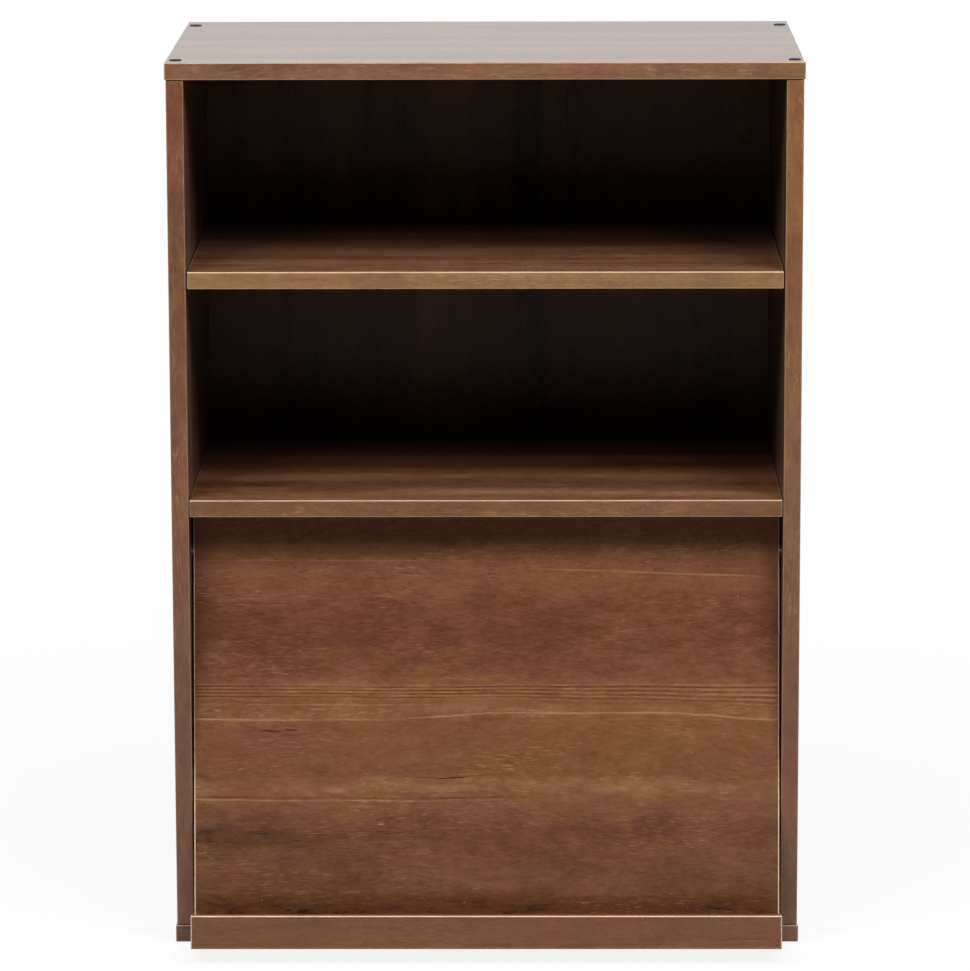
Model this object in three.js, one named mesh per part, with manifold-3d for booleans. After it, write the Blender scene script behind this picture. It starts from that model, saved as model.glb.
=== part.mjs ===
// Shelf case with an up-and-over display door, in millimetres, +Z up, +X to the right, +Y to the back.
// The origin is the centre of the case's footprint, on the floor.
//
// Foil-faced boards are screwed, cammed and dowelled into a case with one fixed and one loose shelf.
// The door leans in the lowest bay. Its two steel pins turn in runners that slide in a routed track,
// and a second pair of pins follows a curved branch of that track, so that the door comes up level
// as it goes back under the fixed shelf.

import * as THREE from 'three';
import { mergeVertices } from 'three/addons/utils/BufferGeometryUtils.js';
import Module from 'manifold-3d';

const wasm = await Module();
wasm.setup();

// ---- Case -------------------------------------------------------------------------------------
const caseWidth = 600; // across the top and base boards
const caseHeight = 851; // floor to the top face
const caseDepth = 366; // front to back over the top board
const boardThickness = 16.5;
const arris = 0.75; // chamfer along every board edge
const sideReveal = 1.25; // the top and base boards stand proud of the side panels
const frontReveal = 1; // and of their front edges
const fixedShelfUnderside = 417.5; // above the floor
const backThickness = 4;
const backInset = 8; // rear edge of the case to the back panel's rear face
const backTongue = 6; // how far the back panel enters its grooves
const looseShelfPlay = 0.75; // at each end of the loose shelf
const looseShelfBackGap = 2;

// ---- Clearances -------------------------------------------------------------------------------
const seatGap = 0.25; // between faces that rest on each other
const boreGap = 0.3; // round a piece in its bore, and at the bore's end
const runningGap = 0.3; // round a piece that slides or turns

// ---- Shelf pegs -------------------------------------------------------------------------------
const pegRadius = 2.5;
const pegInsertion = 10; // length inside the side panel
const pegReach = 9; // length under the shelf
const pegPitch = 32;
const pegRows = 5;
const pegFirstRise = 139.5; // fixed shelf's top face to the lowest row
const shelfPegRow = 2; // row that carries the loose shelf, counted from 0
const pegFrontSetback = 37; // from the front edge of the side panel
const pegRearSetback = 55; // from the front face of the back panel
const pegSink = 3.4; // how deep a peg lies in the shelf's notch

// ---- Screws, caps, cams and dowels ------------------------------------------------------------
const cornerFrontSetback = 20; // corner screws, from the front edge of the side panel
const cornerRearSetback = 36; // corner screws, from the rear edge of the side panel
const cornerScrewRadius = 2.6;
const cornerScrewLength = 48; // under the head
const cornerHeadRadius = 5;
const cornerHeadHeight = 3;
const topHeadDepth = 3; // top face down to the screw head
const baseHeadDepth = 0.6; // underside up to the screw head
const socketRadius = 2.3;
const socketDepth = 2;
const capRadius = 6;
const capHeight = 0.5;
const capStemRadius = 3.6;
const capStemLength = 2.2;
const camFrontSetback = 62; // cams and dowels, from the shelf's front edge
const camRearSetback = 58; // from the shelf's rear edge
const camToDowel = 40;
const camReach = 34; // panel face to the cam's centre
const camRadius = 7.5;
const camHeight = 12.4;
const camBoltRadius = 3;
const camBoltThread = 10.5; // length inside the side panel
const camBoltHeadRadius = 3.4;
const camBoltHeadLength = 2.4;
const camBoltNeckRadius = 2;
const camBoltNeckLength = 5.5;
const dowelRadius = 4;
const dowelShortEnd = 10; // in a board's face
const dowelLongEnd = 20; // in a board's edge
const backScrewCount = 3;
const backScrewEndSetback = 82; // from the side panels
const backScrewRadius = 1.7;
const backScrewLength = 28;
const backScrewHeadRadius = 3.5;
const backScrewHeadHeight = 2;

// ---- Door -------------------------------------------------------------------------------------
const doorLean = 9; // degrees from upright when shut, top set back
const doorPlay = 1.5; // between the door and each side panel
const doorTopClearance = 4.5; // between the door's turning top edge and the fixed shelf
const pivotToTop = 35; // along the door
const doorFloorGap = 3.8; // under the door's lower back edge when shut
const doorBackGap = 4; // between the opened door and the back panel
const trayDepth = 42.5; // door face to lip board
const lipHeight = 31.75;
const bumperThickness = 3.3;
const bumperRadius = 5;
const bumperEndSetback = 40; // from the door's ends
const trayScrewCount = 3;
const trayScrewEndSetback = 100;
const trayScrewRadius = 2;
const trayScrewLength = 36;
const trayScrewHeadRadius = 4;
const trayScrewHeadHeight = 2.4;
const lipDowelCount = 4;
const lipDowelEndSetback = 56;

// ---- Pins, runners and track ------------------------------------------------------------------
const pivotPinRadius = 3;
const pivotPinInsertion = 15; // length inside the door's edge
const guidePinRadius = 3;
const guidePinInsertion = 12;
const guidePinReach = 5; // length inside the track
const guideOffset = 28; // guide pin above the pivot pin, along the door
const runnerLength = 20;
const runnerHeight = 9.4;
const runnerThickness = 7.2;
const trackDepth = 8;
const trackSteps = 27; // straight facets along the curved branch

const boreFacets = 12;
const pinFacets = 14;
const discFacets = 18;

// ---- Places that several pieces share ---------------------------------------------------------
const halfWidth = caseWidth / 2;
const halfDepth = caseDepth / 2;
const sideOuter = halfWidth - sideReveal;
const sideInner = sideOuter - boardThickness;
const sideMiddle = (sideOuter + sideInner) / 2;
const panelFront = -halfDepth + frontReveal;
const panelRear = halfDepth;
const backRear = panelRear - backInset;
const backFront = backRear - backThickness;
const baseTop = boardThickness;
const topUnderside = caseHeight - boardThickness;
const fixedShelfTop = fixedShelfUnderside + boardThickness;
const fixedShelfMiddle = fixedShelfUnderside + boardThickness / 2;
const shelfRear = backFront - seatGap;
const pegFirstRow = fixedShelfTop + pegFirstRise;
const shelfPegHeight = pegFirstRow + shelfPegRow * pegPitch;
const looseShelfUnderside = shelfPegHeight + pegRadius - pegSink;
const pegColumns = { front: panelFront + pegFrontSetback, rear: backFront - pegRearSetback };
const cornerScrewColumns = {
  front: panelFront + cornerFrontSetback,
  rear: panelRear - cornerRearSetback,
};
const camColumns = { front: panelFront + camFrontSetback, rear: shelfRear - camRearSetback };
const dowelColumns = { front: camColumns.front + camToDowel, rear: camColumns.rear - camToDowel };
const sides = { left: -1, right: 1 };

// Shut, the door's bumpers rest on the upper front edge of the base board, which sets the pivot's place.
const lean = THREE.MathUtils.degToRad(doorLean);
const topCornerRadius = Math.hypot(pivotToTop, boardThickness / 2);
const pivotHeight = fixedShelfUnderside - doorTopClearance - topCornerRadius;
const lowerCornerDrop = pivotHeight - doorFloorGap - (boardThickness / 2) * Math.sin(lean);
const pivotToBottom = lowerCornerDrop / Math.cos(lean);
const midplaneToEdge = boardThickness / 2 + bumperThickness + runningGap;
const pivotRise = pivotHeight - baseTop;
const pivotY = -halfDepth + (pivotRise * Math.sin(lean) - midplaneToEdge) / Math.cos(lean);
const bumperDrop = pivotRise * Math.cos(lean) + (pivotY + halfDepth) * Math.sin(lean);
const doorTravel = backFront - doorBackGap - pivotToTop - pivotY;
const swing = Math.PI / 2 - lean; // opened, the door lies level
const travelPerRadian = doorTravel / swing;
const doorHalfWidth = sideInner - doorPlay;
const trackHalfHeight = runnerHeight / 2 + runningGap;

// ---- Finishes ---------------------------------------------------------------------------------
const finish = (color, roughness, metalness = 0) =>
  new THREE.MeshStandardMaterial({ color, roughness, metalness });
const walnutFoil = finish(0x7d573a, 0.45);
const backFoil = finish(0x5c402c, 0.6);
const beech = finish(0xc9a271, 0.7);
const zincSteel = finish(0xb9bbbd, 0.35, 1);
const dieCastZinc = finish(0x8f9194, 0.45, 1);
const blackPlastic = finish(0x231f1d, 0.5);
const whiteNylon = finish(0xd9d5cb, 0.5);
const greyRubber = finish(0x4a4744, 0.9);

// ---- Making and cutting solids ----------------------------------------------------------------
function solidOf(geometry) {
  const bare = geometry.clone();
  bare.deleteAttribute('normal');
  bare.deleteAttribute('uv');
  const merged = mergeVertices(bare, 1e-4);
  const corners = Array.from(merged.index.array);
  const faces = [];
  for (let i = 0; i < corners.length; i += 3) {
    const [a, b, c] = corners.slice(i, i + 3);
    if (a !== b && b !== c && c !== a) faces.push(a, b, c);
  }
  return new wasm.Manifold(new wasm.Mesh({
    numProp: 3,
    vertProperties: new Float32Array(merged.attributes.position.array),
    triVerts: new Uint32Array(faces),
  }));
}

function geometryOf(solid) {
  const mesh = solid.getMesh();
  const geometry = new THREE.BufferGeometry();
  geometry.setAttribute('position', new THREE.BufferAttribute(new Float32Array(mesh.vertProperties), 3));
  geometry.setIndex(new THREE.BufferAttribute(new Uint32Array(mesh.triVerts), 1));
  geometry.computeVertexNormals();
  return geometry;
}

function cut(geometry, cutters) {
  let solid = solidOf(geometry);
  for (const cutter of cutters) solid = solid.subtract(solidOf(cutter));
  return geometryOf(solid);
}

// A box between two corners.
function block(low, high) {
  const size = low.map((value, i) => high[i] - value);
  const geometry = new THREE.BoxGeometry(...size);
  return geometry.translate(...low.map((value, i) => value + size[i] / 2));
}

// A cylinder from a point along an axis. A negative length runs the other way.
function rod(axis, radius, from, length, facets = boreFacets) {
  const geometry = new THREE.CylinderGeometry(radius, radius, Math.abs(length), facets);
  geometry.translate(0, length / 2, 0);
  return layAlong(geometry, axis).translate(...from);
}

// Turns a shape that stands along +Y so that it lies along +X, +Y or +Z.
function layAlong(geometry, axis) {
  if (axis === 'x') geometry.rotateZ(-Math.PI / 2);
  if (axis === 'z') geometry.rotateX(Math.PI / 2);
  return geometry;
}

// A turned piece: its outline is given as [radius, height] from one end of the axis to the other.
function turned(outline, facets) {
  const points = outline.map(([radius, height]) => new THREE.Vector2(radius, height));
  return new THREE.LatheGeometry(points, facets);
}

// A board with every edge eased, centred on its own middle.
function easedBoard([width, depth, height]) {
  const x = width / 2;
  const y = depth / 2;
  const outline = new THREE.Shape([
    new THREE.Vector2(-x + arris, -y),
    new THREE.Vector2(x - arris, -y),
    new THREE.Vector2(x, -y + arris),
    new THREE.Vector2(x, y - arris),
    new THREE.Vector2(x - arris, y),
    new THREE.Vector2(-x + arris, y),
    new THREE.Vector2(-x, y - arris),
    new THREE.Vector2(-x, -y + arris),
  ]);
  const geometry = new THREE.ExtrudeGeometry(outline, {
    depth: height - 2 * arris,
    bevelThickness: arris,
    bevelSize: arris,
    bevelOffset: -arris,
    bevelSegments: 1,
  });
  return geometry.translate(0, 0, arris - height / 2);
}

function add(group, name, geometry, material) {
  const mesh = new THREE.Mesh(geometry, material);
  mesh.name = name;
  group.add(mesh);
  return mesh;
}

// Adds a board between two corners of the group's frame. The cutters are in that frame too.
function addBoard(group, name, low, high, cutters = [], material = walnutFoil) {
  const size = low.map((value, i) => high[i] - value);
  const centre = low.map((value, i) => value + size[i] / 2);
  const local = cutters.map((cutter) => cutter.clone().translate(...centre.map((value) => -value)));
  const mesh = add(group, name, cut(easedBoard(size), local), material);
  mesh.position.set(...centre);
  return mesh;
}

// Calls make(index, x) for a row of copies spread evenly between -reach and reach.
function row(count, reach, make) {
  for (let i = 0; i < count; i += 1) make(i + 1, reach * ((2 * i) / (count - 1) - 1));
}

// Calls make(name, sign, y) at the left and right of each column along the depth.
function atCorners(columns, make) {
  for (const [sideName, sign] of Object.entries(sides)) {
    for (const [columnName, y] of Object.entries(columns)) make(`${sideName}_${columnName}`, sign, y);
  }
}

// ---- Fasteners --------------------------------------------------------------------------------
const through = 1; // how far a cutter runs out past the face that it enters

// A screw that points along +Y, with the top of its head at 0 and a hexagon socket in it.
function cornerScrew() {
  const tip = cornerHeadHeight + cornerScrewLength;
  const tipTaper = 3;
  const blank = turned([
    [0, 0],
    [cornerHeadRadius, 0],
    [cornerHeadRadius, cornerHeadHeight],
    [cornerScrewRadius, cornerHeadHeight],
    [cornerScrewRadius, tip - tipTaper],
    [0, tip],
  ], boreFacets);
  const socket = new THREE.CylinderGeometry(socketRadius, socketRadius, socketDepth + through, 6);
  return cut(blank, [socket.translate(0, (socketDepth - through) / 2, 0)]);
}

// A wood screw along +Y under a head whose outline is given, with a cross slot in the head.
function woodScrew(head, radius, length, headRadius) {
  const slotArm = headRadius / 2;
  const slotHalf = headRadius / 8;
  const slotDepth = headRadius / 4;
  const blank = turned([...head, [radius, length - 2 * radius], [0, length]], boreFacets);
  return cut(blank, [
    block([-slotArm, -through, -slotHalf], [slotArm, slotDepth, slotHalf]),
    block([-slotHalf, -through, -slotArm], [slotHalf, slotDepth, slotArm]),
  ]);
}

// A pan-headed screw, whose head stands on the back panel.
function backScrew() {
  const crown = backScrewHeadRadius * 0.7;
  const head = [
    [0, 0],
    [crown, 0],
    [backScrewHeadRadius, backScrewHeadRadius - crown],
    [backScrewHeadRadius, backScrewHeadHeight],
    [backScrewRadius, backScrewHeadHeight],
  ];
  return woodScrew(head, backScrewRadius, backScrewHeadHeight + backScrewLength, backScrewHeadRadius);
}

// A countersunk screw, whose head lies flush in the back of the door.
function trayScrew() {
  const head = [[0, 0], [trayScrewHeadRadius, 0], [trayScrewRadius, trayScrewHeadHeight]];
  return woodScrew(head, trayScrewRadius, trayScrewLength, trayScrewHeadRadius);
}

function dowel() {
  const length = dowelShortEnd + dowelLongEnd;
  const chamfer = 1;
  return turned([
    [0, 0],
    [dowelRadius - chamfer, 0],
    [dowelRadius, chamfer],
    [dowelRadius, length - chamfer],
    [dowelRadius - chamfer, length],
    [0, length],
  ], boreFacets);
}

// A plain pin along +Y with eased ends.
function pin(radius, length) {
  const ease = 0.5;
  return turned([
    [0, 0],
    [radius - ease, 0],
    [radius, ease],
    [radius, length - ease],
    [radius - ease, length],
    [0, length],
  ], pinFacets);
}

// ---- Case boards ------------------------------------------------------------------------------
const cornerHeadBore = cornerHeadRadius + boreGap;
const cornerShankBore = cornerScrewRadius + boreGap;
const topScrewTip = caseHeight - topHeadDepth - cornerHeadHeight - cornerScrewLength;
const baseScrewTip = baseHeadDepth + cornerHeadHeight + cornerScrewLength;

// The groove for the back panel, cut round the inside of the case.
const backGroove = block(
  [-sideInner - backTongue - boreGap, backFront - boreGap, baseTop - backTongue - boreGap],
  [sideInner + backTongue + boreGap, backRear + boreGap, topUnderside + backTongue + boreGap],
);

function topBoardCutters() {
  const cutters = [backGroove];
  atCorners(cornerScrewColumns, (name, sign, y) => {
    const x = sign * sideMiddle;
    const head = topHeadDepth + cornerHeadHeight + boreGap + through;
    cutters.push(rod('z', cornerHeadBore, [x, y, caseHeight + through], -head, discFacets));
    cutters.push(rod('z', cornerShankBore, [x, y, caseHeight], -boardThickness - through));
  });
  return cutters;
}

function baseBoardCutters() {
  const cutters = [backGroove];
  atCorners(cornerScrewColumns, (name, sign, y) => {
    const x = sign * sideMiddle;
    const head = baseHeadDepth + cornerHeadHeight + boreGap + through;
    cutters.push(rod('z', cornerHeadBore, [x, y, -through], head, discFacets));
    cutters.push(rod('z', cornerShankBore, [x, y, 0], boardThickness + through));
  });
  return cutters;
}

// The outline of a slot of constant width along a chain of points, with round ends.
function slotAlong(points, radius) {
  const outline = [];
  const headingAt = (i) => {
    const before = points[Math.max(i - 1, 0)];
    const after = points[Math.min(i + 1, points.length - 1)];
    return Math.atan2(after.y - before.y, after.x - before.x);
  };
  const push = (i, angle) => outline.push(
    new THREE.Vector2(points[i].x + radius * Math.cos(angle), points[i].y + radius * Math.sin(angle)),
  );
  const last = points.length - 1;
  const endFacets = 8;
  for (let i = 0; i < last; i += 1) push(i, headingAt(i) - Math.PI / 2);
  for (let k = 0; k <= endFacets; k += 1) push(last, headingAt(last) + Math.PI * (k / endFacets - 0.5));
  for (let i = last - 1; i > 0; i -= 1) push(i, headingAt(i) + Math.PI / 2);
  for (let k = 0; k < endFacets; k += 1) push(0, headingAt(0) + Math.PI * (0.5 + k / endFacets));
  return new THREE.Shape(outline);
}

// Extrudes an outline drawn in the case's Y-Z plane along +X.
function acrossCase(shape, fromX, thickness) {
  const options = { depth: thickness, bevelEnabled: false, curveSegments: pinFacets / 2 };
  const geometry = new THREE.ExtrudeGeometry(shape, options);
  const basis = new THREE.Matrix4().makeBasis(
    new THREE.Vector3(0, 1, 0),
    new THREE.Vector3(0, 0, 1),
    new THREE.Vector3(1, 0, 0),
  );
  return geometry.applyMatrix4(basis).translate(fromX, 0, 0);
}

// The runners slide in a straight slot. The guide pins come down into it along a curve, which is
// where they pass while the door turns up and the pivot goes back in step.
function trackShapes() {
  const run = runnerLength / 2 + runningGap - trackHalfHeight;
  const straight = [
    new THREE.Vector2(pivotY - run, pivotHeight),
    new THREE.Vector2(pivotY + doorTravel + run, pivotHeight),
  ];
  const curve = [];
  for (let i = 0; i <= trackSteps; i += 1) {
    const turn = (swing * i) / trackSteps;
    const y = pivotY + travelPerRadian * turn + guideOffset * Math.sin(lean + turn);
    curve.push(new THREE.Vector2(y, pivotHeight + guideOffset * Math.cos(lean + turn)));
  }
  return [slotAlong(straight, trackHalfHeight), slotAlong(curve, guidePinRadius + runningGap)];
}

function sidePanelCutters(sign) {
  const face = sign * sideInner;
  const outwards = (length) => sign * (length + through);
  const start = face - sign * through;
  const cutters = [backGroove];
  for (const y of Object.values(pegColumns)) {
    for (let i = 0; i < pegRows; i += 1) {
      const z = pegFirstRow + i * pegPitch;
      cutters.push(rod('x', pegRadius + boreGap, [start, y, z], outwards(pegInsertion + boreGap)));
    }
  }
  for (const y of Object.values(camColumns)) {
    const z = fixedShelfMiddle;
    cutters.push(rod('x', camBoltRadius + boreGap, [start, y, z], outwards(camBoltThread + boreGap)));
  }
  for (const y of Object.values(dowelColumns)) {
    const z = fixedShelfMiddle;
    cutters.push(rod('x', dowelRadius + boreGap, [start, y, z], outwards(dowelShortEnd + boreGap)));
  }
  for (const y of Object.values(cornerScrewColumns)) {
    const x = sign * sideMiddle;
    cutters.push(rod('z', cornerShankBore, [x, y, topScrewTip - boreGap], caseHeight));
    cutters.push(rod('z', cornerShankBore, [x, y, baseScrewTip + boreGap], -caseHeight));
  }
  for (const shape of trackShapes()) {
    const low = Math.min(start, face + sign * trackDepth);
    cutters.push(acrossCase(shape, low, trackDepth + through));
  }
  return cutters;
}

function fixedShelfCutters() {
  const cutters = [];
  atCorners(camColumns, (name, sign, y) => {
    const start = sign * (sideInner + through);
    const camCentre = sign * (sideInner - camReach);
    cutters.push(rod('x', camBoltHeadRadius + boreGap, [start, y, fixedShelfMiddle], camCentre - start));
    const pocket = [camCentre, y, fixedShelfUnderside - through];
    cutters.push(rod('z', camRadius + boreGap, pocket, camHeight + 2 * boreGap + through, discFacets));
  });
  atCorners(dowelColumns, (name, sign, y) => {
    const start = sign * (sideInner + through);
    const length = -sign * (dowelLongEnd + boreGap + through);
    cutters.push(rod('x', dowelRadius + boreGap, [start, y, fixedShelfMiddle], length));
  });
  row(backScrewCount, sideInner - backScrewEndSetback, (i, x) => {
    const length = backScrewLength - backThickness + boreGap;
    cutters.push(rod('y', backScrewRadius + boreGap, [x, backFront, fixedShelfMiddle], -length));
  });
  return cutters;
}

// Each peg lies in a round-topped notch in the underside of the loose shelf.
function looseShelfCutters() {
  const cutters = [];
  const width = pegRadius + boreGap;
  atCorners(pegColumns, (name, sign, y) => {
    const outer = sign * (sideInner + through);
    const inner = sign * (sideInner - pegReach - boreGap);
    const low = [Math.min(outer, inner), y - width, looseShelfUnderside - through];
    const high = [Math.max(outer, inner), y + width, shelfPegHeight];
    cutters.push(block(low, high));
    cutters.push(rod('x', width, [outer, y, shelfPegHeight], inner - outer));
  });
  return cutters;
}

function backPanelCutters() {
  const cutters = [];
  row(backScrewCount, sideInner - backScrewEndSetback, (i, x) => {
    const start = [x, backRear + through, fixedShelfMiddle];
    cutters.push(rod('y', backScrewRadius + boreGap, start, -backThickness - 2 * through));
  });
  return cutters;
}

function buildCase(group) {
  addBoard(group, 'top_board',
    [-halfWidth, -halfDepth, topUnderside], [halfWidth, halfDepth, caseHeight], topBoardCutters());
  addBoard(group, 'base_board',
    [-halfWidth, -halfDepth, 0], [halfWidth, halfDepth, baseTop], baseBoardCutters());
  for (const [name, sign] of Object.entries(sides)) {
    const low = [Math.min(sign * sideInner, sign * sideOuter), panelFront, baseTop + seatGap];
    const high = [Math.max(sign * sideInner, sign * sideOuter), panelRear, topUnderside - seatGap];
    addBoard(group, `side_panel_${name}`, low, high, sidePanelCutters(sign));
  }
  const fixedEnd = sideInner - seatGap;
  addBoard(group, 'fixed_shelf',
    [-fixedEnd, panelFront, fixedShelfUnderside], [fixedEnd, shelfRear, fixedShelfTop], fixedShelfCutters());
  const looseEnd = sideInner - looseShelfPlay;
  addBoard(group, 'loose_shelf',
    [-looseEnd, panelFront, looseShelfUnderside],
    [looseEnd, backFront - looseShelfBackGap, looseShelfUnderside + boardThickness], looseShelfCutters());
  const backPanel = block(
    [-sideInner - backTongue, backFront, baseTop - backTongue],
    [sideInner + backTongue, backRear, topUnderside + backTongue],
  );
  add(group, 'back_panel', cut(backPanel, backPanelCutters()), backFoil);
}

function buildCaseFasteners(group) {
  atCorners(cornerScrewColumns, (name, sign, y) => {
    const topScrew = add(group, `top_screw_${name}`, cornerScrew(), zincSteel);
    topScrew.position.set(sign * sideMiddle, y, caseHeight - topHeadDepth);
    topScrew.rotation.x = -Math.PI / 2;
    const baseScrew = add(group, `base_screw_${name}`, cornerScrew(), zincSteel);
    baseScrew.position.set(sign * sideMiddle, y, baseHeadDepth);
    baseScrew.rotation.x = Math.PI / 2;
    const cap = add(group, `screw_cap_${name}`, screwCap(), blackPlastic);
    cap.position.set(sign * sideMiddle, y, caseHeight + seatGap);
    cap.rotation.x = Math.PI / 2;
  });
  atCorners(pegColumns, (name, sign, y) => {
    const peg = add(group, `shelf_peg_${name}`, pin(pegRadius, pegInsertion + pegReach), whiteNylon);
    peg.position.set(sign * (sideInner - pegReach), y, shelfPegHeight);
    peg.rotation.z = -sign * Math.PI / 2;
  });
  atCorners(camColumns, (name, sign, y) => {
    const bolt = add(group, `cam_bolt_${name}`, camBolt(), zincSteel);
    bolt.position.set(sign * sideInner, y, fixedShelfMiddle);
    bolt.rotation.z = sign * Math.PI / 2;
    const cam = add(group, `cam_lock_${name}`, camLock(), dieCastZinc);
    cam.position.set(sign * (sideInner - camReach), y, fixedShelfUnderside + boreGap);
    cam.rotation.z = sign > 0 ? 0 : Math.PI;
  });
  atCorners(dowelColumns, (name, sign, y) => {
    const peg = add(group, `shelf_dowel_${name}`, dowel(), beech);
    peg.position.set(sign * (sideInner - dowelLongEnd), y, fixedShelfMiddle);
    peg.rotation.z = -sign * Math.PI / 2;
  });
  row(backScrewCount, sideInner - backScrewEndSetback, (i, x) => {
    const mesh = add(group, `back_screw_${i}`, backScrew(), zincSteel);
    mesh.position.set(x, backRear + backScrewHeadHeight + seatGap, fixedShelfMiddle);
    mesh.rotation.z = Math.PI;
  });
}

// A round cap along +Y: a low dome over a stem that plugs the screw's bore.
function screwCap() {
  return turned([
    [0, -capStemLength],
    [capStemRadius, -capStemLength],
    [capStemRadius, 0],
    [capRadius, 0],
    [capRadius, capHeight * 0.5],
    [capRadius - capHeight, capHeight],
    [0, capHeight],
  ], discFacets);
}

// A cam bolt along +Y: its thread is below 0, in the side panel, and its head is in the cam.
function camBolt() {
  const tipTaper = 2;
  const headEnd = camReach + camBoltHeadLength / 2;
  const headStart = headEnd - camBoltHeadLength;
  const neckStart = headStart - camBoltNeckLength;
  return turned([
    [0, -camBoltThread],
    [camBoltRadius, tipTaper - camBoltThread],
    [camBoltRadius, neckStart],
    [camBoltNeckRadius, neckStart],
    [camBoltNeckRadius, headStart],
    [camBoltHeadRadius, headStart],
    [camBoltHeadRadius, headEnd],
    [0, headEnd],
  ], boreFacets);
}

// A cam drum that stands on 0 along +Z, slotted towards +X for the bolt, with a cross slot below.
function camLock() {
  const drum = rod('z', camRadius, [0, 0, 0], camHeight, discFacets);
  const boltHeight = boardThickness / 2 - boreGap;
  const headHalf = camBoltHeadRadius + boreGap;
  const neckHalf = camBoltNeckRadius + boreGap;
  const headLength = camBoltHeadLength / 2 + boreGap;
  const shankHalf = camBoltRadius + boreGap;
  const shankEnd = camBoltHeadLength / 2 + camBoltNeckLength - boreGap;
  const driverArm = camRadius / 2;
  const driverHalf = 0.6;
  const driverDepth = 1.6;
  return cut(drum, [
    block([-headLength, -headHalf, boltHeight - headHalf], [headLength, headHalf, camHeight + through]),
    block([0, -neckHalf, boltHeight - neckHalf], [camRadius + through, neckHalf, camHeight + through]),
    block([shankEnd, -shankHalf, boltHeight - shankHalf], [camRadius + through, shankHalf, camHeight + through]),
    block([-driverArm, -driverHalf, -through], [driverArm, driverHalf, driverDepth]),
    block([-driverHalf, -driverArm, -through], [driverHalf, driverArm, driverDepth]),
  ]);
}

// ---- Door -------------------------------------------------------------------------------------
// The door's own frame has its origin on the pivot axis, +Z up along the door and +Y to its back.
const doorFront = -boardThickness / 2;
const doorRear = boardThickness / 2;
const doorBottom = -pivotToBottom;
const lipRear = doorFront - trayDepth;
const lipFront = lipRear - boardThickness;
const trayMiddle = doorBottom + boardThickness / 2;

function doorPanelCutters() {
  const cutters = [];
  for (const sign of Object.values(sides)) {
    const start = sign * (doorHalfWidth + through);
    const pivotBore = -sign * (pivotPinInsertion + boreGap + through);
    const guideBore = -sign * (guidePinInsertion + boreGap + through);
    cutters.push(rod('x', pivotPinRadius + boreGap, [start, 0, 0], pivotBore, pinFacets));
    cutters.push(rod('x', guidePinRadius + boreGap, [start, 0, guideOffset], guideBore, pinFacets));
  }
  row(trayScrewCount, doorHalfWidth - trayScrewEndSetback, (i, x) => {
    const start = [x, doorRear + through, trayMiddle];
    cutters.push(rod('y', trayScrewRadius + boreGap, start, -boardThickness - 2 * through));
    const ease = 3 * boreGap;
    const sinkDepth = trayScrewHeadHeight + ease;
    const cone = new THREE.CylinderGeometry(
      trayScrewHeadRadius + ease, trayScrewRadius + ease, sinkDepth, boreFacets);
    cutters.push(cone.translate(x, doorRear + boreGap - sinkDepth / 2, trayMiddle));
  });
  return cutters;
}

function buildDoor(group) {
  addBoard(group, 'door_panel',
    [-doorHalfWidth, doorFront, doorBottom], [doorHalfWidth, doorRear, pivotToTop], doorPanelCutters());

  const trayCutters = [];
  const lipCutters = [];
  row(trayScrewCount, doorHalfWidth - trayScrewEndSetback, (i, x) => {
    const depth = trayScrewLength - boardThickness + boreGap;
    trayCutters.push(rod('y', trayScrewRadius + boreGap, [x, doorFront, trayMiddle], -depth));
    const mesh = add(group, `tray_screw_${i}`, trayScrew(), zincSteel);
    mesh.position.set(x, doorRear - boreGap, trayMiddle);
    mesh.rotation.z = Math.PI;
  });
  row(lipDowelCount, doorHalfWidth - lipDowelEndSetback, (i, x) => {
    const inTray = dowelLongEnd + boreGap;
    const inLip = dowelShortEnd + boreGap;
    trayCutters.push(rod('y', dowelRadius + boreGap, [x, lipRear - through, trayMiddle], inTray + through));
    lipCutters.push(rod('y', dowelRadius + boreGap, [x, lipRear + through, trayMiddle], -inLip - through));
    const mesh = add(group, `lip_dowel_${i}`, dowel(), beech);
    mesh.position.set(x, lipRear - dowelShortEnd, trayMiddle);
  });
  addBoard(group, 'tray_board',
    [-doorHalfWidth, lipRear + seatGap, doorBottom],
    [doorHalfWidth, doorFront - seatGap, doorBottom + boardThickness], trayCutters);
  addBoard(group, 'lip_board',
    [-doorHalfWidth, lipFront, doorBottom], [doorHalfWidth, lipRear, doorBottom + lipHeight], lipCutters);

  for (const [name, sign] of Object.entries(sides)) {
    const pivotPin = pin(pivotPinRadius, pivotPinInsertion + doorPlay + runnerThickness - runningGap);
    const pivot = add(group, `pivot_pin_${name}`, pivotPin, zincSteel);
    pivot.position.set(sign * (doorHalfWidth - pivotPinInsertion), 0, 0);
    pivot.rotation.z = -sign * Math.PI / 2;
    const guidePin = pin(guidePinRadius, guidePinInsertion + doorPlay + guidePinReach);
    const guide = add(group, `guide_pin_${name}`, guidePin, blackPlastic);
    guide.position.set(sign * (doorHalfWidth - guidePinInsertion), 0, guideOffset);
    guide.rotation.z = -sign * Math.PI / 2;
    const bumper = add(group, `door_bumper_${name}`, doorBumper(), greyRubber);
    bumper.position.set(sign * (doorHalfWidth - bumperEndSetback), doorRear + seatGap, -bumperDrop);
  }
}

// A round bumper along +Y, stuck to the back of the door.
function doorBumper() {
  const height = bumperThickness - seatGap;
  const ease = 1.2;
  return turned([
    [0, 0],
    [bumperRadius, 0],
    [bumperRadius, height - ease],
    [bumperRadius - ease, height],
    [0, height],
  ], pinFacets);
}

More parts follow.
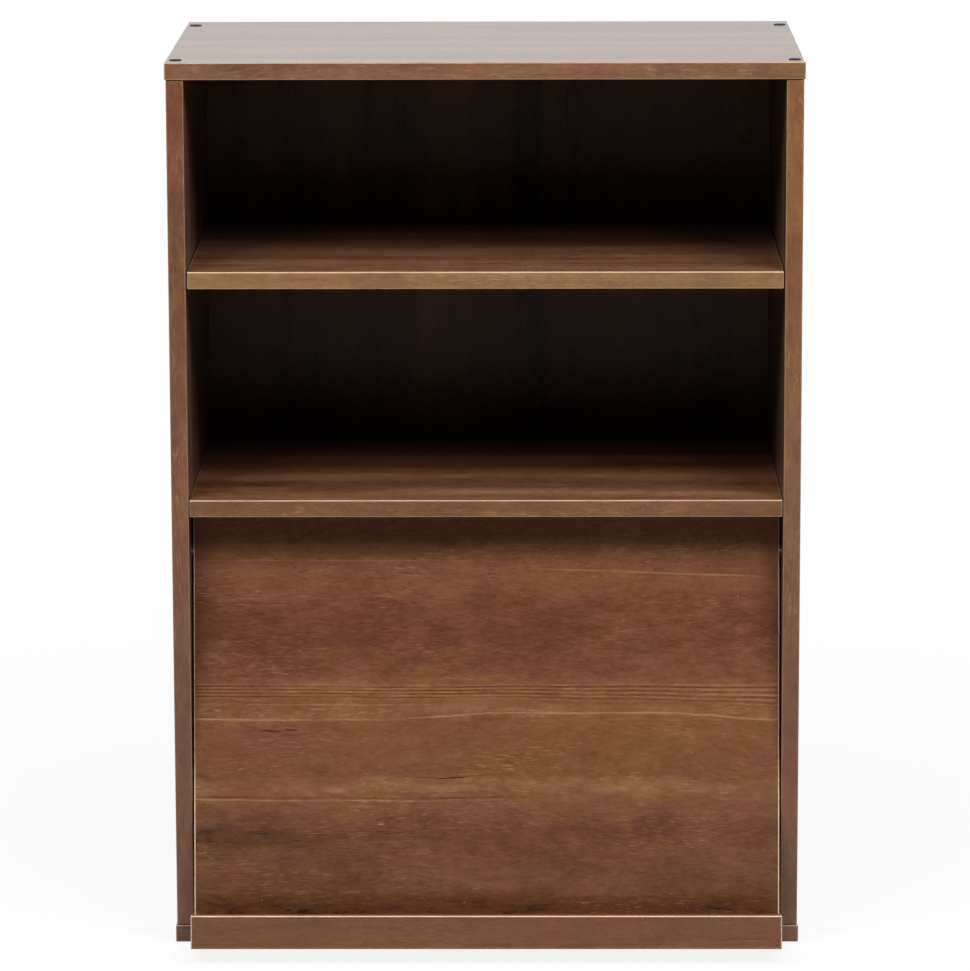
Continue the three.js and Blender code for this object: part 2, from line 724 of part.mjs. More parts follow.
// A runner lies in the track, flush with the side panel's face, and the pivot pin turns in its hole.
function buildRunners(group) {
  for (const [name, sign] of Object.entries(sides)) {
    const end = runnerLength / 2 - runnerHeight / 2;
    const shape = slotAlong([new THREE.Vector2(-end, 0), new THREE.Vector2(end, 0)], runnerHeight / 2);
    const hole = new THREE.Path();
    hole.absarc(0, 0, pivotPinRadius + runningGap, 0, 2 * Math.PI);
    shape.holes.push(hole);
    const fromX = sign > 0 ? 0 : -runnerThickness;
    const runner = add(group, `runner_${name}`, acrossCase(shape, fromX, runnerThickness), whiteNylon);
    runner.position.set(sign * sideInner, pivotY, pivotHeight);
  }
}

// ---- Assembly ---------------------------------------------------------------------------------
const bookcase = new THREE.Group();
const carcass = new THREE.Group();
const door = new THREE.Group();
const runners = new THREE.Group();
buildCase(carcass);
buildCaseFasteners(carcass);
buildDoor(door);
buildRunners(runners);
door.position.set(0, pivotY, pivotHeight);
door.rotation.x = -lean;
bookcase.add(carcass, door, runners);

export default bookcase;
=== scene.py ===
# Shelf case with an up-and-over display door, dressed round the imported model. All sizes are in metres.
import bmesh
import bpy
import math
from mathutils import Matrix, Vector


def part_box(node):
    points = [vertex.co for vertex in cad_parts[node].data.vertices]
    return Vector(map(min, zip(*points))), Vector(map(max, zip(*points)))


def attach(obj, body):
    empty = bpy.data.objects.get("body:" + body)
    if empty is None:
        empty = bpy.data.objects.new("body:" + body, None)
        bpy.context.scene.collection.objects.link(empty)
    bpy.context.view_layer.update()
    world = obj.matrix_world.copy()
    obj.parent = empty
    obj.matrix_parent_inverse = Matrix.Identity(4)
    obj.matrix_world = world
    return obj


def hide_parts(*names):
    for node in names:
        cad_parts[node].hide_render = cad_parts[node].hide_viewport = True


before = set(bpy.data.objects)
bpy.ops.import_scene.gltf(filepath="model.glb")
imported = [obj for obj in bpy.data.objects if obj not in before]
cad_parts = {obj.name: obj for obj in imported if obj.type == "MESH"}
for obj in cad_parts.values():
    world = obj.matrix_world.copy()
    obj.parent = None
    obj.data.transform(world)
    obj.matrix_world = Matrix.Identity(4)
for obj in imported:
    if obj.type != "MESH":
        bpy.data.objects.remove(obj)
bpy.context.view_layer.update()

# ---- Side panels ----
# Two upright particle boards wrapped in walnut-printed foil, with the grain upright and every edge eased.
# The inner faces are bored for shelf pegs and routed with the track that the door's pins follow.


def set_inputs(tree, node, inputs):
    for key, value in inputs.items():
        if isinstance(value, list):
            for each in value:
                tree.links.new(each, node.inputs[key])
        elif isinstance(value, bpy.types.NodeSocket):
            tree.links.new(value, node.inputs[key])
        else:
            node.inputs[key].default_value = value


def add_node(tree, kind, inputs=None, **settings):
    made = tree.nodes.new(kind)
    for name, value in settings.items():
        setattr(made, name, value)
    set_inputs(tree, made, inputs or {})
    return made


def made_by(tree, kind, inputs=None, **settings):
    """The first output of a new node."""
    return add_node(tree, kind, inputs, **settings).outputs[0]


def new_material(name):
    material = bpy.data.materials.new(name)
    material.use_nodes = True
    return material, material.node_tree, material.node_tree.nodes["Principled BSDF"]


def set_surface(material, numbers):
    """Sets plain numbers and colours, the same all over, on the surface itself."""
    set_inputs(material.node_tree, material.node_tree.nodes["Principled BSDF"], numbers)


def finish_surface(tree, surface, colour, roughness, relief, strength, depth):
    """Gives a surface its colour, its roughness, and the relief as a bump of a depth in metres."""
    bump = made_by(tree, "ShaderNodeBump", {"Height": relief, "Strength": strength, "Distance": depth})
    set_inputs(tree, surface, {"Base Color": colour, "Roughness": roughness, "Normal": bump})


def math_node(tree, operation, first, second=0.0, third=0.0, clamp=False):
    inputs = {0: first, 1: second, 2: third}
    return made_by(tree, "ShaderNodeMath", inputs, operation=operation, use_clamp=clamp)


def times(tree, first, second, clamp=False):
    return math_node(tree, "MULTIPLY", first, second, clamp=clamp)


def minus(tree, first, second, clamp=False):
    return math_node(tree, "SUBTRACT", first, second, clamp=clamp)


def times_plus(tree, first, second, third, clamp=False):
    return math_node(tree, "MULTIPLY_ADD", first, second, third, clamp)


def vector_node(tree, operation, first, second=(0.0, 0.0, 0.0)):
    made = add_node(tree, "ShaderNodeVectorMath", {0: first, 1: second}, operation=operation)
    return made.outputs["Value" if operation == "LENGTH" else "Vector"]


def from_half(tree, colour):
    return vector_node(tree, "SUBTRACT", colour, (0.5, 0.5, 0.5))


def part_of(tree, where, axis):
    """One number of a place, by the number of its axis."""
    return add_node(tree, "ShaderNodeSeparateXYZ", {0: where}).outputs[axis]


def object_place(tree):
    return add_node(tree, "ShaderNodeTexCoord").outputs["Object"]


def mix_colour(tree, factor, first, second, blend="MIX"):
    inputs = {"Factor": factor, 6: first, 7: second}
    made = add_node(tree, "ShaderNodeMix", inputs, data_type="RGBA", blend_type=blend)
    return made.outputs[2]


def ramp(tree, value, stops, interpolation="LINEAR"):
    made = add_node(tree, "ShaderNodeValToRGB", {"Fac": value})
    made.color_ramp.interpolation = interpolation
    elements = made.color_ramp.elements
    while len(elements) < len(stops):
        elements.new(1.0)
    for element, (place, colour) in zip(elements, stops):
        element.position = place
        element.color = (*colour, 1.0)
    return made.outputs["Color"]


def grey_ramp(tree, value, stops, interpolation="LINEAR"):
    return ramp(tree, value, [(place, (shade, shade, shade)) for place, shade in stops], interpolation)


def noise(tree, where, per_metre, detail=2.0, roughness=0.5, output="Fac"):
    stretched = vector_node(tree, "MULTIPLY", where, per_metre)
    inputs = {"Vector": stretched, "Scale": 1.0, "Detail": detail, "Roughness": roughness}
    return add_node(tree, "ShaderNodeTexNoise", inputs).outputs[output]


def patches(tree, where, per_metre, stops, detail=2.0):
    """Noise through a ramp of greys."""
    return grey_ramp(tree, noise(tree, where, per_metre, detail), stops)


FOIL_TONES = [
    (0.00, (0.0200, 0.0070, 0.0040)),
    (0.08, (0.0700, 0.0225, 0.0092)),
    (0.20, (0.0960, 0.0320, 0.0126)),
    (0.35, (0.1190, 0.0405, 0.0160)),
    (0.55, (0.1630, 0.0620, 0.0245)),
    (0.75, (0.2000, 0.0850, 0.0340)),
    (0.95, (0.2460, 0.1150, 0.0470)),
    (1.20, (0.3200, 0.1680, 0.0760)),
]
TONE_SPAN = 1.25
UPRIGHT = (0.0, math.radians(90), 0.0)
DOWN, UP = (0.0, 0.0, -1.0), (0.0, 0.0, 1.0)
LEFTWARD, RIGHTWARD = (-1.0, 0.0, 0.0), (1.0, 0.0, 0.0)


def board_figure(tree, placed, swayed, level):
    """Broad bands of lighter and darker print that run with the grain, from 0, dark, to 1, light."""
    bands = noise(tree, swayed, (0.9, 19.0, 19.0))
    return times_plus(tree, minus(tree, bands, 0.5), 1.5, level)


def strip_figure(rise):
    """An even edge strip, which gets lighter along its grain by the rise for each metre."""

    def figure(tree, placed, swayed, level):
        bands = noise(tree, swayed, (2.5, 60.0, 60.0))
        along = part_of(tree, placed, 0)
        tone = times_plus(tree, minus(tree, bands, 0.5), 0.35, level)
        return times_plus(tree, along, rise, tone)

    return figure


def walnut_foil(
    name, turn=(0.0, 0.0, 0.0), shift=(0.0, 0.0, 0.0), level=0.55, wear_and_highlight=0.4, figure=board_figure,
    contrast=1.0, tint=None, bend=None, gloss=0.5,
):
    """Walnut-printed foil. After the turn and shift, its grain runs along the first axis."""
    material, tree, surface = new_material(name)
    placing = {"Vector": object_place(tree), "Location": shift, "Rotation": turn}
    placed = add_node(tree, "ShaderNodeMapping", placing).outputs["Vector"]
    if bend:
        placed = bend(tree, placed)
    # The figure wanders across the grain, slowly by centimetres and quickly by a millimetre or two.
    sway = from_half(tree, noise(tree, placed, (4.5, 13.0, 13.0), output="Color"))
    ripple = from_half(tree, noise(tree, placed, (22.0, 50.0, 50.0), output="Color"))
    slow, quick = 0.028, 0.0055
    drawn = vector_node(tree, "ADD", placed, vector_node(tree, "MULTIPLY", sway, (0.0, slow, slow)))
    swayed = vector_node(tree, "ADD", drawn, vector_node(tree, "MULTIPLY", ripple, (0.0, quick, quick)))

    tone = figure(tree, placed, swayed, level)
    # Blotches, then streaks, then fibres, each shorter and finer than the last. None has a very dark spot.
    deepest = -0.12
    for per_metre, depth in (
        ((11.0, 27.0, 27.0), 0.44),
        ((34.0, 90.0, 90.0), 0.52),
        ((85.0, 230.0, 230.0), 0.46),
        ((150.0, 640.0, 640.0), 0.42),
    ):
        grain = noise(tree, swayed, per_metre, roughness=0.55)
        above = math_node(tree, "MAXIMUM", minus(tree, grain, 0.5), deepest)
        tone = times_plus(tree, above, depth * contrast, tone)
    # Pale streaks a centimetre or two long and a millimetre high lie together in patches.
    streaks = patches(tree, drawn, (75.0, 1000.0, 1000.0), [(0.58, 0.0), (0.72, 1.0)], 1.0)
    groups = patches(tree, placed, (7.0, 34.0, 34.0), [(0.46, 0.15), (0.62, 1.0)])
    streaks = times(tree, streaks, groups)
    tone = times_plus(tree, streaks, 0.50 * contrast, tone)
    # Fine growth lines, dark and light, gather in a few places across the grain.
    rings = noise(tree, swayed, (1.1, 210.0, 210.0), 1.0)
    ring_light = grey_ramp(tree, rings, [(0.515, 0.0), (0.53, 1.0), (0.545, 0.0)])
    ring_dark = grey_ramp(tree, rings, [(0.455, 0.0), (0.47, 1.0), (0.485, 0.0)])
    gathered = patches(tree, placed, (1.4, 15.0, 15.0), [(0.50, 0.10), (0.60, 1.0)])
    broken = patches(tree, placed, (26.0, 300.0, 300.0), [(0.40, 0.0), (0.56, 1.0)])
    gathered = times(tree, gathered, broken)
    tone = times_plus(tree, times(tree, ring_light, gathered), 0.25, tone)
    tone = times_plus(tree, times(tree, ring_dark, gathered), -0.22, tone)
    tone = times(tree, tone, 1 / TONE_SPAN)
    colour = ramp(tree, tone, [(place / TONE_SPAN, shade) for place, shade in FOIL_TONES])
    # Some streaks are redder and some yellower at the same depth of tone.
    hue = noise(tree, swayed, (3.2, 48.0, 48.0), 3.0, 0.55)
    redder = grey_ramp(tree, hue, [(0.50, 0.0), (0.68, 1.0)])
    yellower = grey_ramp(tree, hue, [(0.32, 1.0), (0.50, 0.0)])
    redder = times(tree, redder, 0.5)
    yellower = times(tree, yellower, 0.5)
    colour = mix_colour(tree, redder, colour, (1.00, 0.84, 0.92, 1.0), "MULTIPLY")
    colour = mix_colour(tree, yellower, colour, (0.97, 1.00, 0.78, 1.0), "MULTIPLY")
    # Pores are dark dashes a few millimetres long. Flecks are small pale dots.
    pores = patches(tree, drawn, (170.0, 1600.0, 1600.0), [(0.62, 1.0), (0.78, 0.85)], 1.0)
    colour = mix_colour(tree, 1.0, colour, pores, "MULTIPLY")
    cells = add_node(
        tree, "ShaderNodeTexVoronoi",
        {"Vector": vector_node(tree, "MULTIPLY", placed, (52.0, 90.0, 90.0)), "Scale": 1.0},
    )
    near = grey_ramp(tree, cells.outputs["Distance"], [(0.030, 1.0), (0.075, 0.0)])
    chosen = add_node(tree, "ShaderNodeSeparateColor", {0: cells.outputs["Color"]}).outputs[0]
    pale = times(tree, near, math_node(tree, "GREATER_THAN", chosen, 0.70))
    dark = times(tree, near, math_node(tree, "LESS_THAN", chosen, 0.15))
    colour = mix_colour(tree, times(tree, pale, 0.40), colour, (0.46, 0.29, 0.18, 1.0))
    colour = mix_colour(tree, times(tree, dark, 0.45), colour, (0.030, 0.011, 0.006, 1.0))
    if tint:
        tint = tint(tree, placed) if callable(tint) else (*tint, 1.0)
        colour = mix_colour(tree, 1.0, colour, tint, "MULTIPLY")
    # The foil is rubbed thin and pale along the open arrises, paled further as a painted highlight; closed
    # arrises get a painted shadow.
    arris = add_node(tree, "ShaderNodeAttribute", {}, attribute_name="arris").outputs["Fac"]
    closed = times(tree, arris, -1.0, clamp=True)
    colour = mix_colour(tree, times(tree, closed, 0.85), colour, (0.012, 0.007, 0.004, 1.0))
    rubbed = patches(tree, placed, (60.0, 300.0, 300.0), [(0.30, 0.70 * wear_and_highlight), (0.62, wear_and_highlight)], 3.0)
    rubbed = times(tree, arris, rubbed, clamp=True)
    colour = mix_colour(tree, rubbed, colour, (0.90, 0.68, 0.46, 1.0))
    roughness = times_plus(tree, grain, 0.16, 0.22)
    roughness = times_plus(tree, closed, 0.60, roughness)
    relief = times_plus(tree, pores, 0.6, times(tree, grain, 0.5))
    finish_surface(tree, surface, colour, roughness, relief, strength=0.35, depth=0.00006)
    set_surface(material, {"Specular IOR Level": gloss, "IOR": 1.55})
    return material


WELD = 0.00001


def opened_mesh(mesh, level_faces):
    """The mesh, opened for work, with its doubled points joined and its level faces made one."""
    made = bmesh.new()
    made.from_mesh(mesh)
    bmesh.ops.remove_doubles(made, verts=made.verts, dist=WELD)
    bmesh.ops.dissolve_limit(made, angle_limit=level_faces, verts=made.verts, edges=made.edges)
    return made


def round_edges(made, edges, width, clamp):
    bmesh.ops.bevel(
        made, geom=edges, offset=width, offset_type="OFFSET", segments=2, profile=0.5, affect="EDGES",
        clamp_overlap=clamp,
    )


def close_mesh(made, mesh, crease):
    """Shades the work smoothly between its creases and puts it back into the mesh."""
    for face in made.faces:
        face.smooth = True
    for edge in made.edges:
        edge.smooth = edge.is_manifold and edge.calc_face_angle() < crease
        edge.seam = False
    made.to_mesh(mesh)
    made.free()


def soften_arrises(mesh, tilt, closed):
    """Rounds the chamfers round a board's outside and keeps its bores and grooves sharp. The arrises are
    marked 1, open, or -1, closed, where they face one of the given directions, toward the next board or
    down; the foil darkens the closed ones as painted shadow."""
    level_faces = math.radians(0.6)
    made = opened_mesh(mesh, level_faces)
    axes = (
        (1.0, 0.0, 0.0),
        (0.0, math.cos(tilt), -math.sin(tilt)),
        (0.0, math.sin(tilt), math.cos(tilt)),
    )
    sides = []
    for axis in axes:
        for outward in (Vector(axis), -Vector(axis)):
            sides.append((outward, max(vertex.co.dot(outward) for vertex in made.verts)))
    # A rim is cut all round each face, so that the softened edges stay clear of the bores' facets.
    rim = 0.003
    for outward, reach in sides:
        cut = bmesh.ops.bisect_plane(
            made, geom=[*made.verts, *made.edges, *made.faces], dist=WELD / 10,
            plane_co=outward * (reach - rim), plane_no=outward,
        )
        for part in cut["geom_cut"]:
            if isinstance(part, bmesh.types.BMEdge):
                part.seam = True
    bmesh.ops.remove_doubles(made, verts=made.verts, dist=2 * WELD)
    bmesh.ops.dissolve_limit(
        made, angle_limit=level_faces, verts=made.verts, edges=made.edges, delimit={"SEAM"}
    )
    made.normal_update()
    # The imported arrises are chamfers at 45 degrees, each within this reach of two sides.
    chamfer_reach = 0.0012

    def on_arris(place):
        return sum(reach - place.dot(outward) < chamfer_reach for outward, reach in sides) >= 2

    eased = []
    for edge in made.edges:
        middle = (edge.verts[0].co + edge.verts[1].co) / 2
        if edge.is_manifold and 40 < math.degrees(edge.calc_face_angle()) < 50 and on_arris(middle):
            eased.append(edge)
    round_edges(made, eased, width=0.00038, clamp=False)
    bmesh.ops.dissolve_degenerate(made, dist=WELD / 2, edges=made.edges)
    made.normal_update()
    flat_enough = 0.996
    covered = 0.3
    marks = made.faces.layers.float.new("arris")
    for face in made.faces:
        level = max(face.normal.dot(outward) for outward, reach in sides)
        if level < flat_enough and on_arris(face.calc_center_median()):
            face[marks] = -1.0 if any(face.normal.dot(toward) > covered for toward in closed) else 1.0
    close_mesh(made, mesh, crease=math.radians(35))


def new_object(name, data):
    made = bpy.data.objects.new(name, data)
    bpy.context.scene.collection.objects.link(made)
    return made


def set_materials(mesh, *materials):
    mesh.materials.clear()
    for material in materials:
        mesh.materials.append(material)


def foiled_board(node, body, foil, edge_foil=None, inner_foil=None, tilt=0.0, closed=()):
    """A copy of a packed board with softened arrises. Its front edge may carry a strip of another foil, and
    so may its face toward the middle of the case."""
    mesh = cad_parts[node].data.copy()
    soften_arrises(mesh, tilt, [Vector(toward) for toward in closed])
    set_materials(mesh, *(each for each in (foil, edge_foil, inner_foil) if each))
    front = min(vertex.co.y for vertex in mesh.vertices)
    strip_depth = 0.0009
    for face in mesh.polygons:
        faces_front = face.normal.y < -0.3
        faces_aside = abs(face.normal.x) > 0.9
        if edge_foil and faces_front and face.center.y < front + strip_depth:
            face.material_index = 1
        elif inner_foil and faces_aside and face.normal.x * face.center.x < 0:
            face.material_index = 2
    board = new_object("foiled_" + node, mesh)
    even = board.modifiers.new("even shading", "WEIGHTED_NORMAL")
    even.keep_sharp = True
    even.weight = 100
    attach(board, body)
    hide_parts(node)


def bay_tint(above, below):
    """Painted shade for the inner faces: one tint above the fixed shelf and a much darker one in the bay
    below it, which the door keeps in shade.
    """
    shelf_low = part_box("fixed_shelf")[0][2]

    def tint(tree, placed):
        upper = math_node(tree, "GREATER_THAN", part_of(tree, object_place(tree), 2), shelf_low)
        return mix_colour(tree, upper, (*below, 1.0), (*above, 1.0))

    return tint


def side_panel(side, shift, edge_shift, edge_level, edge_rise, edge_tint, inside_painted_shade):
    """A side panel with one foil outside, a strip on its front edge, and a copy of the foil inside darkened
    with the bays' painted shade.
    """
    name = "foil_%s_side" % side
    edge_figure = strip_figure(edge_rise)
    foiled_board(
        "side_panel_" + side, "case",
        walnut_foil(name, UPRIGHT, shift, 0.50, 0.10),
        walnut_foil(name + "_edge", UPRIGHT, edge_shift, edge_level, 0.10, edge_figure, tint=edge_tint),
        walnut_foil(name + "_inside", UPRIGHT, shift, 0.50, 0.10, tint=inside_painted_shade),
        # The top arrises, under the top board, get a painted shadow.
        closed=[UP],
    )


# The inside tints are painted shade, darkest in the bay below the fixed shelf.
side_panel(
    "left", shift=(0.3, 0.11, 0.0), edge_shift=(0.0, 0.37, 0.20), edge_level=0.46, edge_rise=0.02,
    edge_tint=(0.98, 1.0, 0.86), inside_painted_shade=bay_tint((0.66, 0.90, 1.30), (0.24, 0.26, 0.26)),
)
side_panel(
    "right", shift=(0.0, 0.42, 0.0), edge_shift=(0.0, 0.77, 0.15), edge_level=0.52, edge_rise=0.20,
    edge_tint=(1.01, 0.98, 0.78), inside_painted_shade=bay_tint((0.50, 0.68, 1.00), (0.20, 0.22, 0.22)),
)

# ---- Top and base boards ----
# Foil-wrapped particle boards over and under the side panels, with the grain along the case and a slim
# edge strip in front. Four screws each hold them to the ends of the side panels.

top_foil = walnut_foil("foil_top", shift=(0.2, 0.0, 0.1), level=0.45, wear_and_highlight=0.25, tint=(0.80, 1.0, 1.20))
set_surface(top_foil, {"Coat Weight": 0.27, "Coat Roughness": 0.16})
foiled_board(
    "top_board", "case", top_foil,
    walnut_foil(
        "foil_top_edge", shift=(0.0, 0.3, 0.7), level=0.62, wear_and_highlight=0.25, figure=strip_figure(0.06),
        tint=(0.93, 1.0, 1.05),
    ),
)
foiled_board(
    "base_board", "case",
    walnut_foil("foil_base", shift=(1.3, 0.2, 0.4), level=0.50, wear_and_highlight=0.20),
    walnut_foil("foil_base_edge", shift=(0.0, 0.9, 0.2), level=0.43, wear_and_highlight=0.20, figure=strip_figure(0.58)),
    # The lower arrises, on the floor, get a painted shadow.
    closed=[DOWN],
)

# ---- Shelves ----
# Foil-wrapped particle boards between the side panels. Cams draw the lower one to the panels, and the
# upper one lies loose on four pegs.

foiled_board(
    "fixed_shelf", "case",
    walnut_foil("foil_fixed_shelf", shift=(2.1, 0.5, 0.2), level=0.48, wear_and_highlight=0.35, tint=(0.92, 1.01, 1.28)),
    walnut_foil(
        "foil_fixed_shelf_edge", shift=(0.0, 0.4, 0.9), level=0.52, wear_and_highlight=0.40, figure=strip_figure(0.0),
        tint=(0.92, 0.94, 0.65),
    ),
    # The end arrises, against the side panels, get a painted shadow.
    closed=[LEFTWARD, RIGHTWARD],
)
foiled_board(
    "loose_shelf", "case",
    walnut_foil("foil_loose_shelf", shift=(3.7, 0.8, 0.6), level=0.66, wear_and_highlight=0.50, tint=(0.84, 0.95, 1.32)),
    walnut_foil(
        "foil_loose_shelf_edge", shift=(0.0, 0.1, 0.3), level=0.84, wear_and_highlight=0.42, figure=strip_figure(0.0),
        tint=(1.02, 1.12, 1.00),
    ),
    # The end arrises, against the side panels, get a painted shadow.
    closed=[LEFTWARD, RIGHTWARD],
)

# ---- Back panel ----
# A thin hardboard sheet with a darker and duller foil. It sits in a groove round the case and is screwed
# to the rear edge of the fixed shelf.

set_materials(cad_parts["back_panel"].data, walnut_foil(
    "foil_back_panel", UPRIGHT, (0.5, 0.6, 0.9), 0.31, contrast=0.6, tint=(0.88, 1.20, 1.60), gloss=0.12
))

# ---- Corner screws ----
# Eight plated steel furniture screws, four down through the top board and four up through the base board.
# Each runs into the end of a side panel and has a hexagon socket in its sunk head.


def size_tree(name, sizes):
    """An empty tree with inputs for the points that it fills, its finish, and each size by name."""
    tree = bpy.data.node_groups.new(name, "GeometryNodeTree")
    labels = {"Places": "Geometry", "Finish": "Material", **{label: "Float" for label in sizes}}
    for label, kind in labels.items():
        tree.interface.new_socket(label, in_out="INPUT", socket_type="NodeSocket" + kind)
    tree.interface.new_socket("Made", in_out="OUTPUT", socket_type="NodeSocketGeometry")
    return tree, tree.nodes.new("NodeGroupInput").outputs


def total(tree, inputs, words):
    """A sum of named sizes, written as in "Head height + Length - Point"."""
    made = 0.0
    for term in words.replace(" - ", " + -").split(" + "):
        if term != "0":
            made = math_node(tree, "SUBTRACT" if term[0] == "-" else "ADD", made, inputs[term.strip("-")])
    return made


def round_section(tree, facets):
    return made_by(tree, "GeometryNodeCurvePrimitiveCircle", {"Resolution": facets, "Radius": 1.0})


def turned_shape(tree, inputs, outline, section):
    """A closed shape along the third axis, from a radius and a height for each step of its outline."""
    line = made_by(tree, "GeometryNodeCurvePrimitiveLine")
    line = made_by(tree, "GeometryNodeResampleCurve", {"Curve": line, "Count": len(outline)})
    step = made_by(tree, "GeometryNodeInputIndex")
    picked = []
    for column in zip(*outline):
        choice = add_node(tree, "GeometryNodeIndexSwitch", {"Index": step}, data_type="FLOAT")
        while len(choice.index_switch_items) < len(outline):
            choice.index_switch_items.new()
        set_inputs(tree, choice, {1 + i: total(tree, inputs, words) for i, words in enumerate(column)})
        picked.append(choice.outputs[0])
    radius, height = picked
    place = made_by(tree, "ShaderNodeCombineXYZ", {"Z": height})
    line = made_by(tree, "GeometryNodeSetPosition", {"Geometry": line, "Position": place})
    swept = {"Curve": line, "Profile Curve": section, "Scale": radius, "Fill Caps": True}
    return made_by(tree, "GeometryNodeCurveToMesh", swept)


def thread_ridge(tree, inputs):
    """A screw thread with a V-shaped ridge that runs out at both ends."""
    steps_per_turn = 14
    run_out, least = 16.0, 0.05
    turns = math_node(tree, "DIVIDE", inputs["Thread length"], inputs["Pitch"])
    helix = made_by(tree, "GeometryNodeCurveSpiral", {
        "Resolution": steps_per_turn, "Rotations": turns, "Height": inputs["Thread length"],
        "Start Radius": inputs["Core radius"], "End Radius": inputs["Core radius"],
    })
    along = add_node(tree, "GeometryNodeSplineParameter").outputs["Factor"]
    from_end = math_node(tree, "PINGPONG", along, 0.5)
    fade = math_node(tree, "MINIMUM", times_plus(tree, from_end, run_out, least), 1.0)
    section = {"Geometry": round_section(tree, 3), "Rotation": (0.0, 0.0, math.pi)}
    section = made_by(tree, "GeometryNodeTransform", section)
    ridge = made_by(tree, "GeometryNodeCurveToMesh", {
        "Curve": helix, "Profile Curve": section, "Fill Caps": True,
        "Scale": times(tree, fade, inputs["Thread depth"]),
    })
    start = made_by(tree, "ShaderNodeCombineXYZ", {"Z": inputs["Thread start"]})
    return made_by(tree, "GeometryNodeTransform", {"Geometry": ridge, "Translation": start})


def fill_places(tree, inputs, shapes, seed):
    """Puts a copy of the shapes on each point, along its axis, and turns each copy by a chance angle."""
    shape = made_by(tree, "GeometryNodeJoinGeometry", {"Geometry": shapes})
    angle = made_by(tree, "GeometryNodeInputMeshEdgeAngle")
    crease = math.radians(32)
    keen = made_by(tree, "FunctionNodeCompare", {0: angle, 1: crease}, operation="GREATER_THAN")
    shape = made_by(tree, "GeometryNodeSetShadeSmooth", {"Geometry": shape, "Shade Smooth": True})
    sharpened = {"Geometry": shape, "Selection": keen, "Shade Smooth": False}
    shape = made_by(tree, "GeometryNodeSetShadeSmooth", sharpened, domain="EDGE")
    own = made_by(tree, "GeometryNodeInputPosition")
    stored = {"Geometry": shape, "Name": "own_place", "Value": own}
    shape = made_by(tree, "GeometryNodeStoreNamedAttribute", stored, data_type="FLOAT_VECTOR")
    span = {"Min": (0.0, 0.0, 0.0), "Max": (1.0, 1.0, 1.0), "Seed": seed}
    chance = made_by(tree, "FunctionNodeRandomValue", span, data_type="FLOAT_VECTOR")
    angle = times(tree, part_of(tree, chance, 0), math.tau)
    spin = made_by(tree, "FunctionNodeAxisAngleToRotation", {"Axis": (0.0, 0.0, 1.0), "Angle": angle})
    axis = made_by(tree, "GeometryNodeInputNamedAttribute", {"Name": "axis"}, data_type="FLOAT_VECTOR")
    turned = {"Rotation": spin, "Vector": axis}
    turn = made_by(tree, "FunctionNodeAlignRotationToVector", turned, axis="Z")
    placed = {"Points": inputs["Places"], "Instance": shape, "Rotation": turn}
    copies = made_by(tree, "GeometryNodeInstanceOnPoints", placed)
    stored = {"Geometry": copies, "Name": "shift", "Value": chance}
    copies = made_by(
        tree, "GeometryNodeStoreNamedAttribute", stored, data_type="FLOAT_VECTOR", domain="INSTANCE"
    )
    made = made_by(tree, "GeometryNodeRealizeInstances", {"Geometry": copies})
    made = made_by(tree, "GeometryNodeSetMaterial", {"Geometry": made, "Material": inputs["Finish"]})
    add_node(tree, "NodeGroupOutput", {"Made": made})


def turned_fastener(name, sizes, outline, sides, seed, recess=None, threaded=False, section=round_section):
    """A tree that makes a turned fastener, with its recess and its thread, on each point that it fills."""
    tree, inputs = size_tree(name, sizes)
    solid = turned_shape(tree, inputs, outline, section(tree, sides))
    if recess:
        cut = {"Mesh 1": solid, "Mesh 2": [recess(tree, inputs)]}
        solid = made_by(tree, "GeometryNodeMeshBoolean", cut, operation="DIFFERENCE")
    shapes = [solid]
    if threaded:
        shapes.append(thread_ridge(tree, inputs))
    fill_places(tree, inputs, shapes, seed)
    return tree


def start_of(node, axis):
    """The middle of the end from which a fastener is driven, when it is driven along the axis."""
    corners = [vertex.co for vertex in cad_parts[node].data.vertices]
    side = axis.orthogonal().normalized()
    place = axis * min(corner.dot(axis) for corner in corners)
    for direction in (side, axis.cross(side)):
        reaches = [corner.dot(direction) for corner in corners]
        place += direction * (min(reaches) + max(reaches)) / 2
    return place


def fasteners(name, tree, sizes, finish, driven, body):
    """One plain mesh of the tree's copies, which stand for the driven nodes and run along their axes."""
    axes = {node: Vector(axis).normalized() for node, axis in driven.items()}
    mesh = bpy.data.meshes.new(name)
    mesh.from_pydata([start_of(node, axis) for node, axis in axes.items()], [], [])
    mesh.attributes.new("axis", "FLOAT_VECTOR", "POINT")
    for place, axis in zip(mesh.attributes["axis"].data, axes.values()):
        place.vector = axis
    piece = new_object(name, mesh)
    maker = piece.modifiers.new("maker", "NODES")
    maker.node_group = tree
    settings = {"Finish": finish, **sizes}
    for item in tree.interface.items_tree:
        if item.name in settings:
            maker[item.identifier] = settings[item.name]
    depsgraph = bpy.context.evaluated_depsgraph_get()
    made = bpy.data.meshes.new_from_object(piece.evaluated_get(depsgraph), depsgraph=depsgraph)
    made.name = name
    made.attributes.remove(made.attributes["material_index"])
    set_materials(made, finish)
    piece.modifiers.remove(maker)
    piece.data = made
    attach(piece, body)
    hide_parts(*axes)


def stored_vector(tree, name):
    return add_node(tree, "ShaderNodeAttribute", {}, attribute_name=name).outputs["Vector"]


def own_place(tree):
    """Where a point lies on its own fastener, moved by another amount on each copy."""
    return vector_node(tree, "ADD", stored_vector(tree, "own_place"), stored_vector(tree, "shift"))


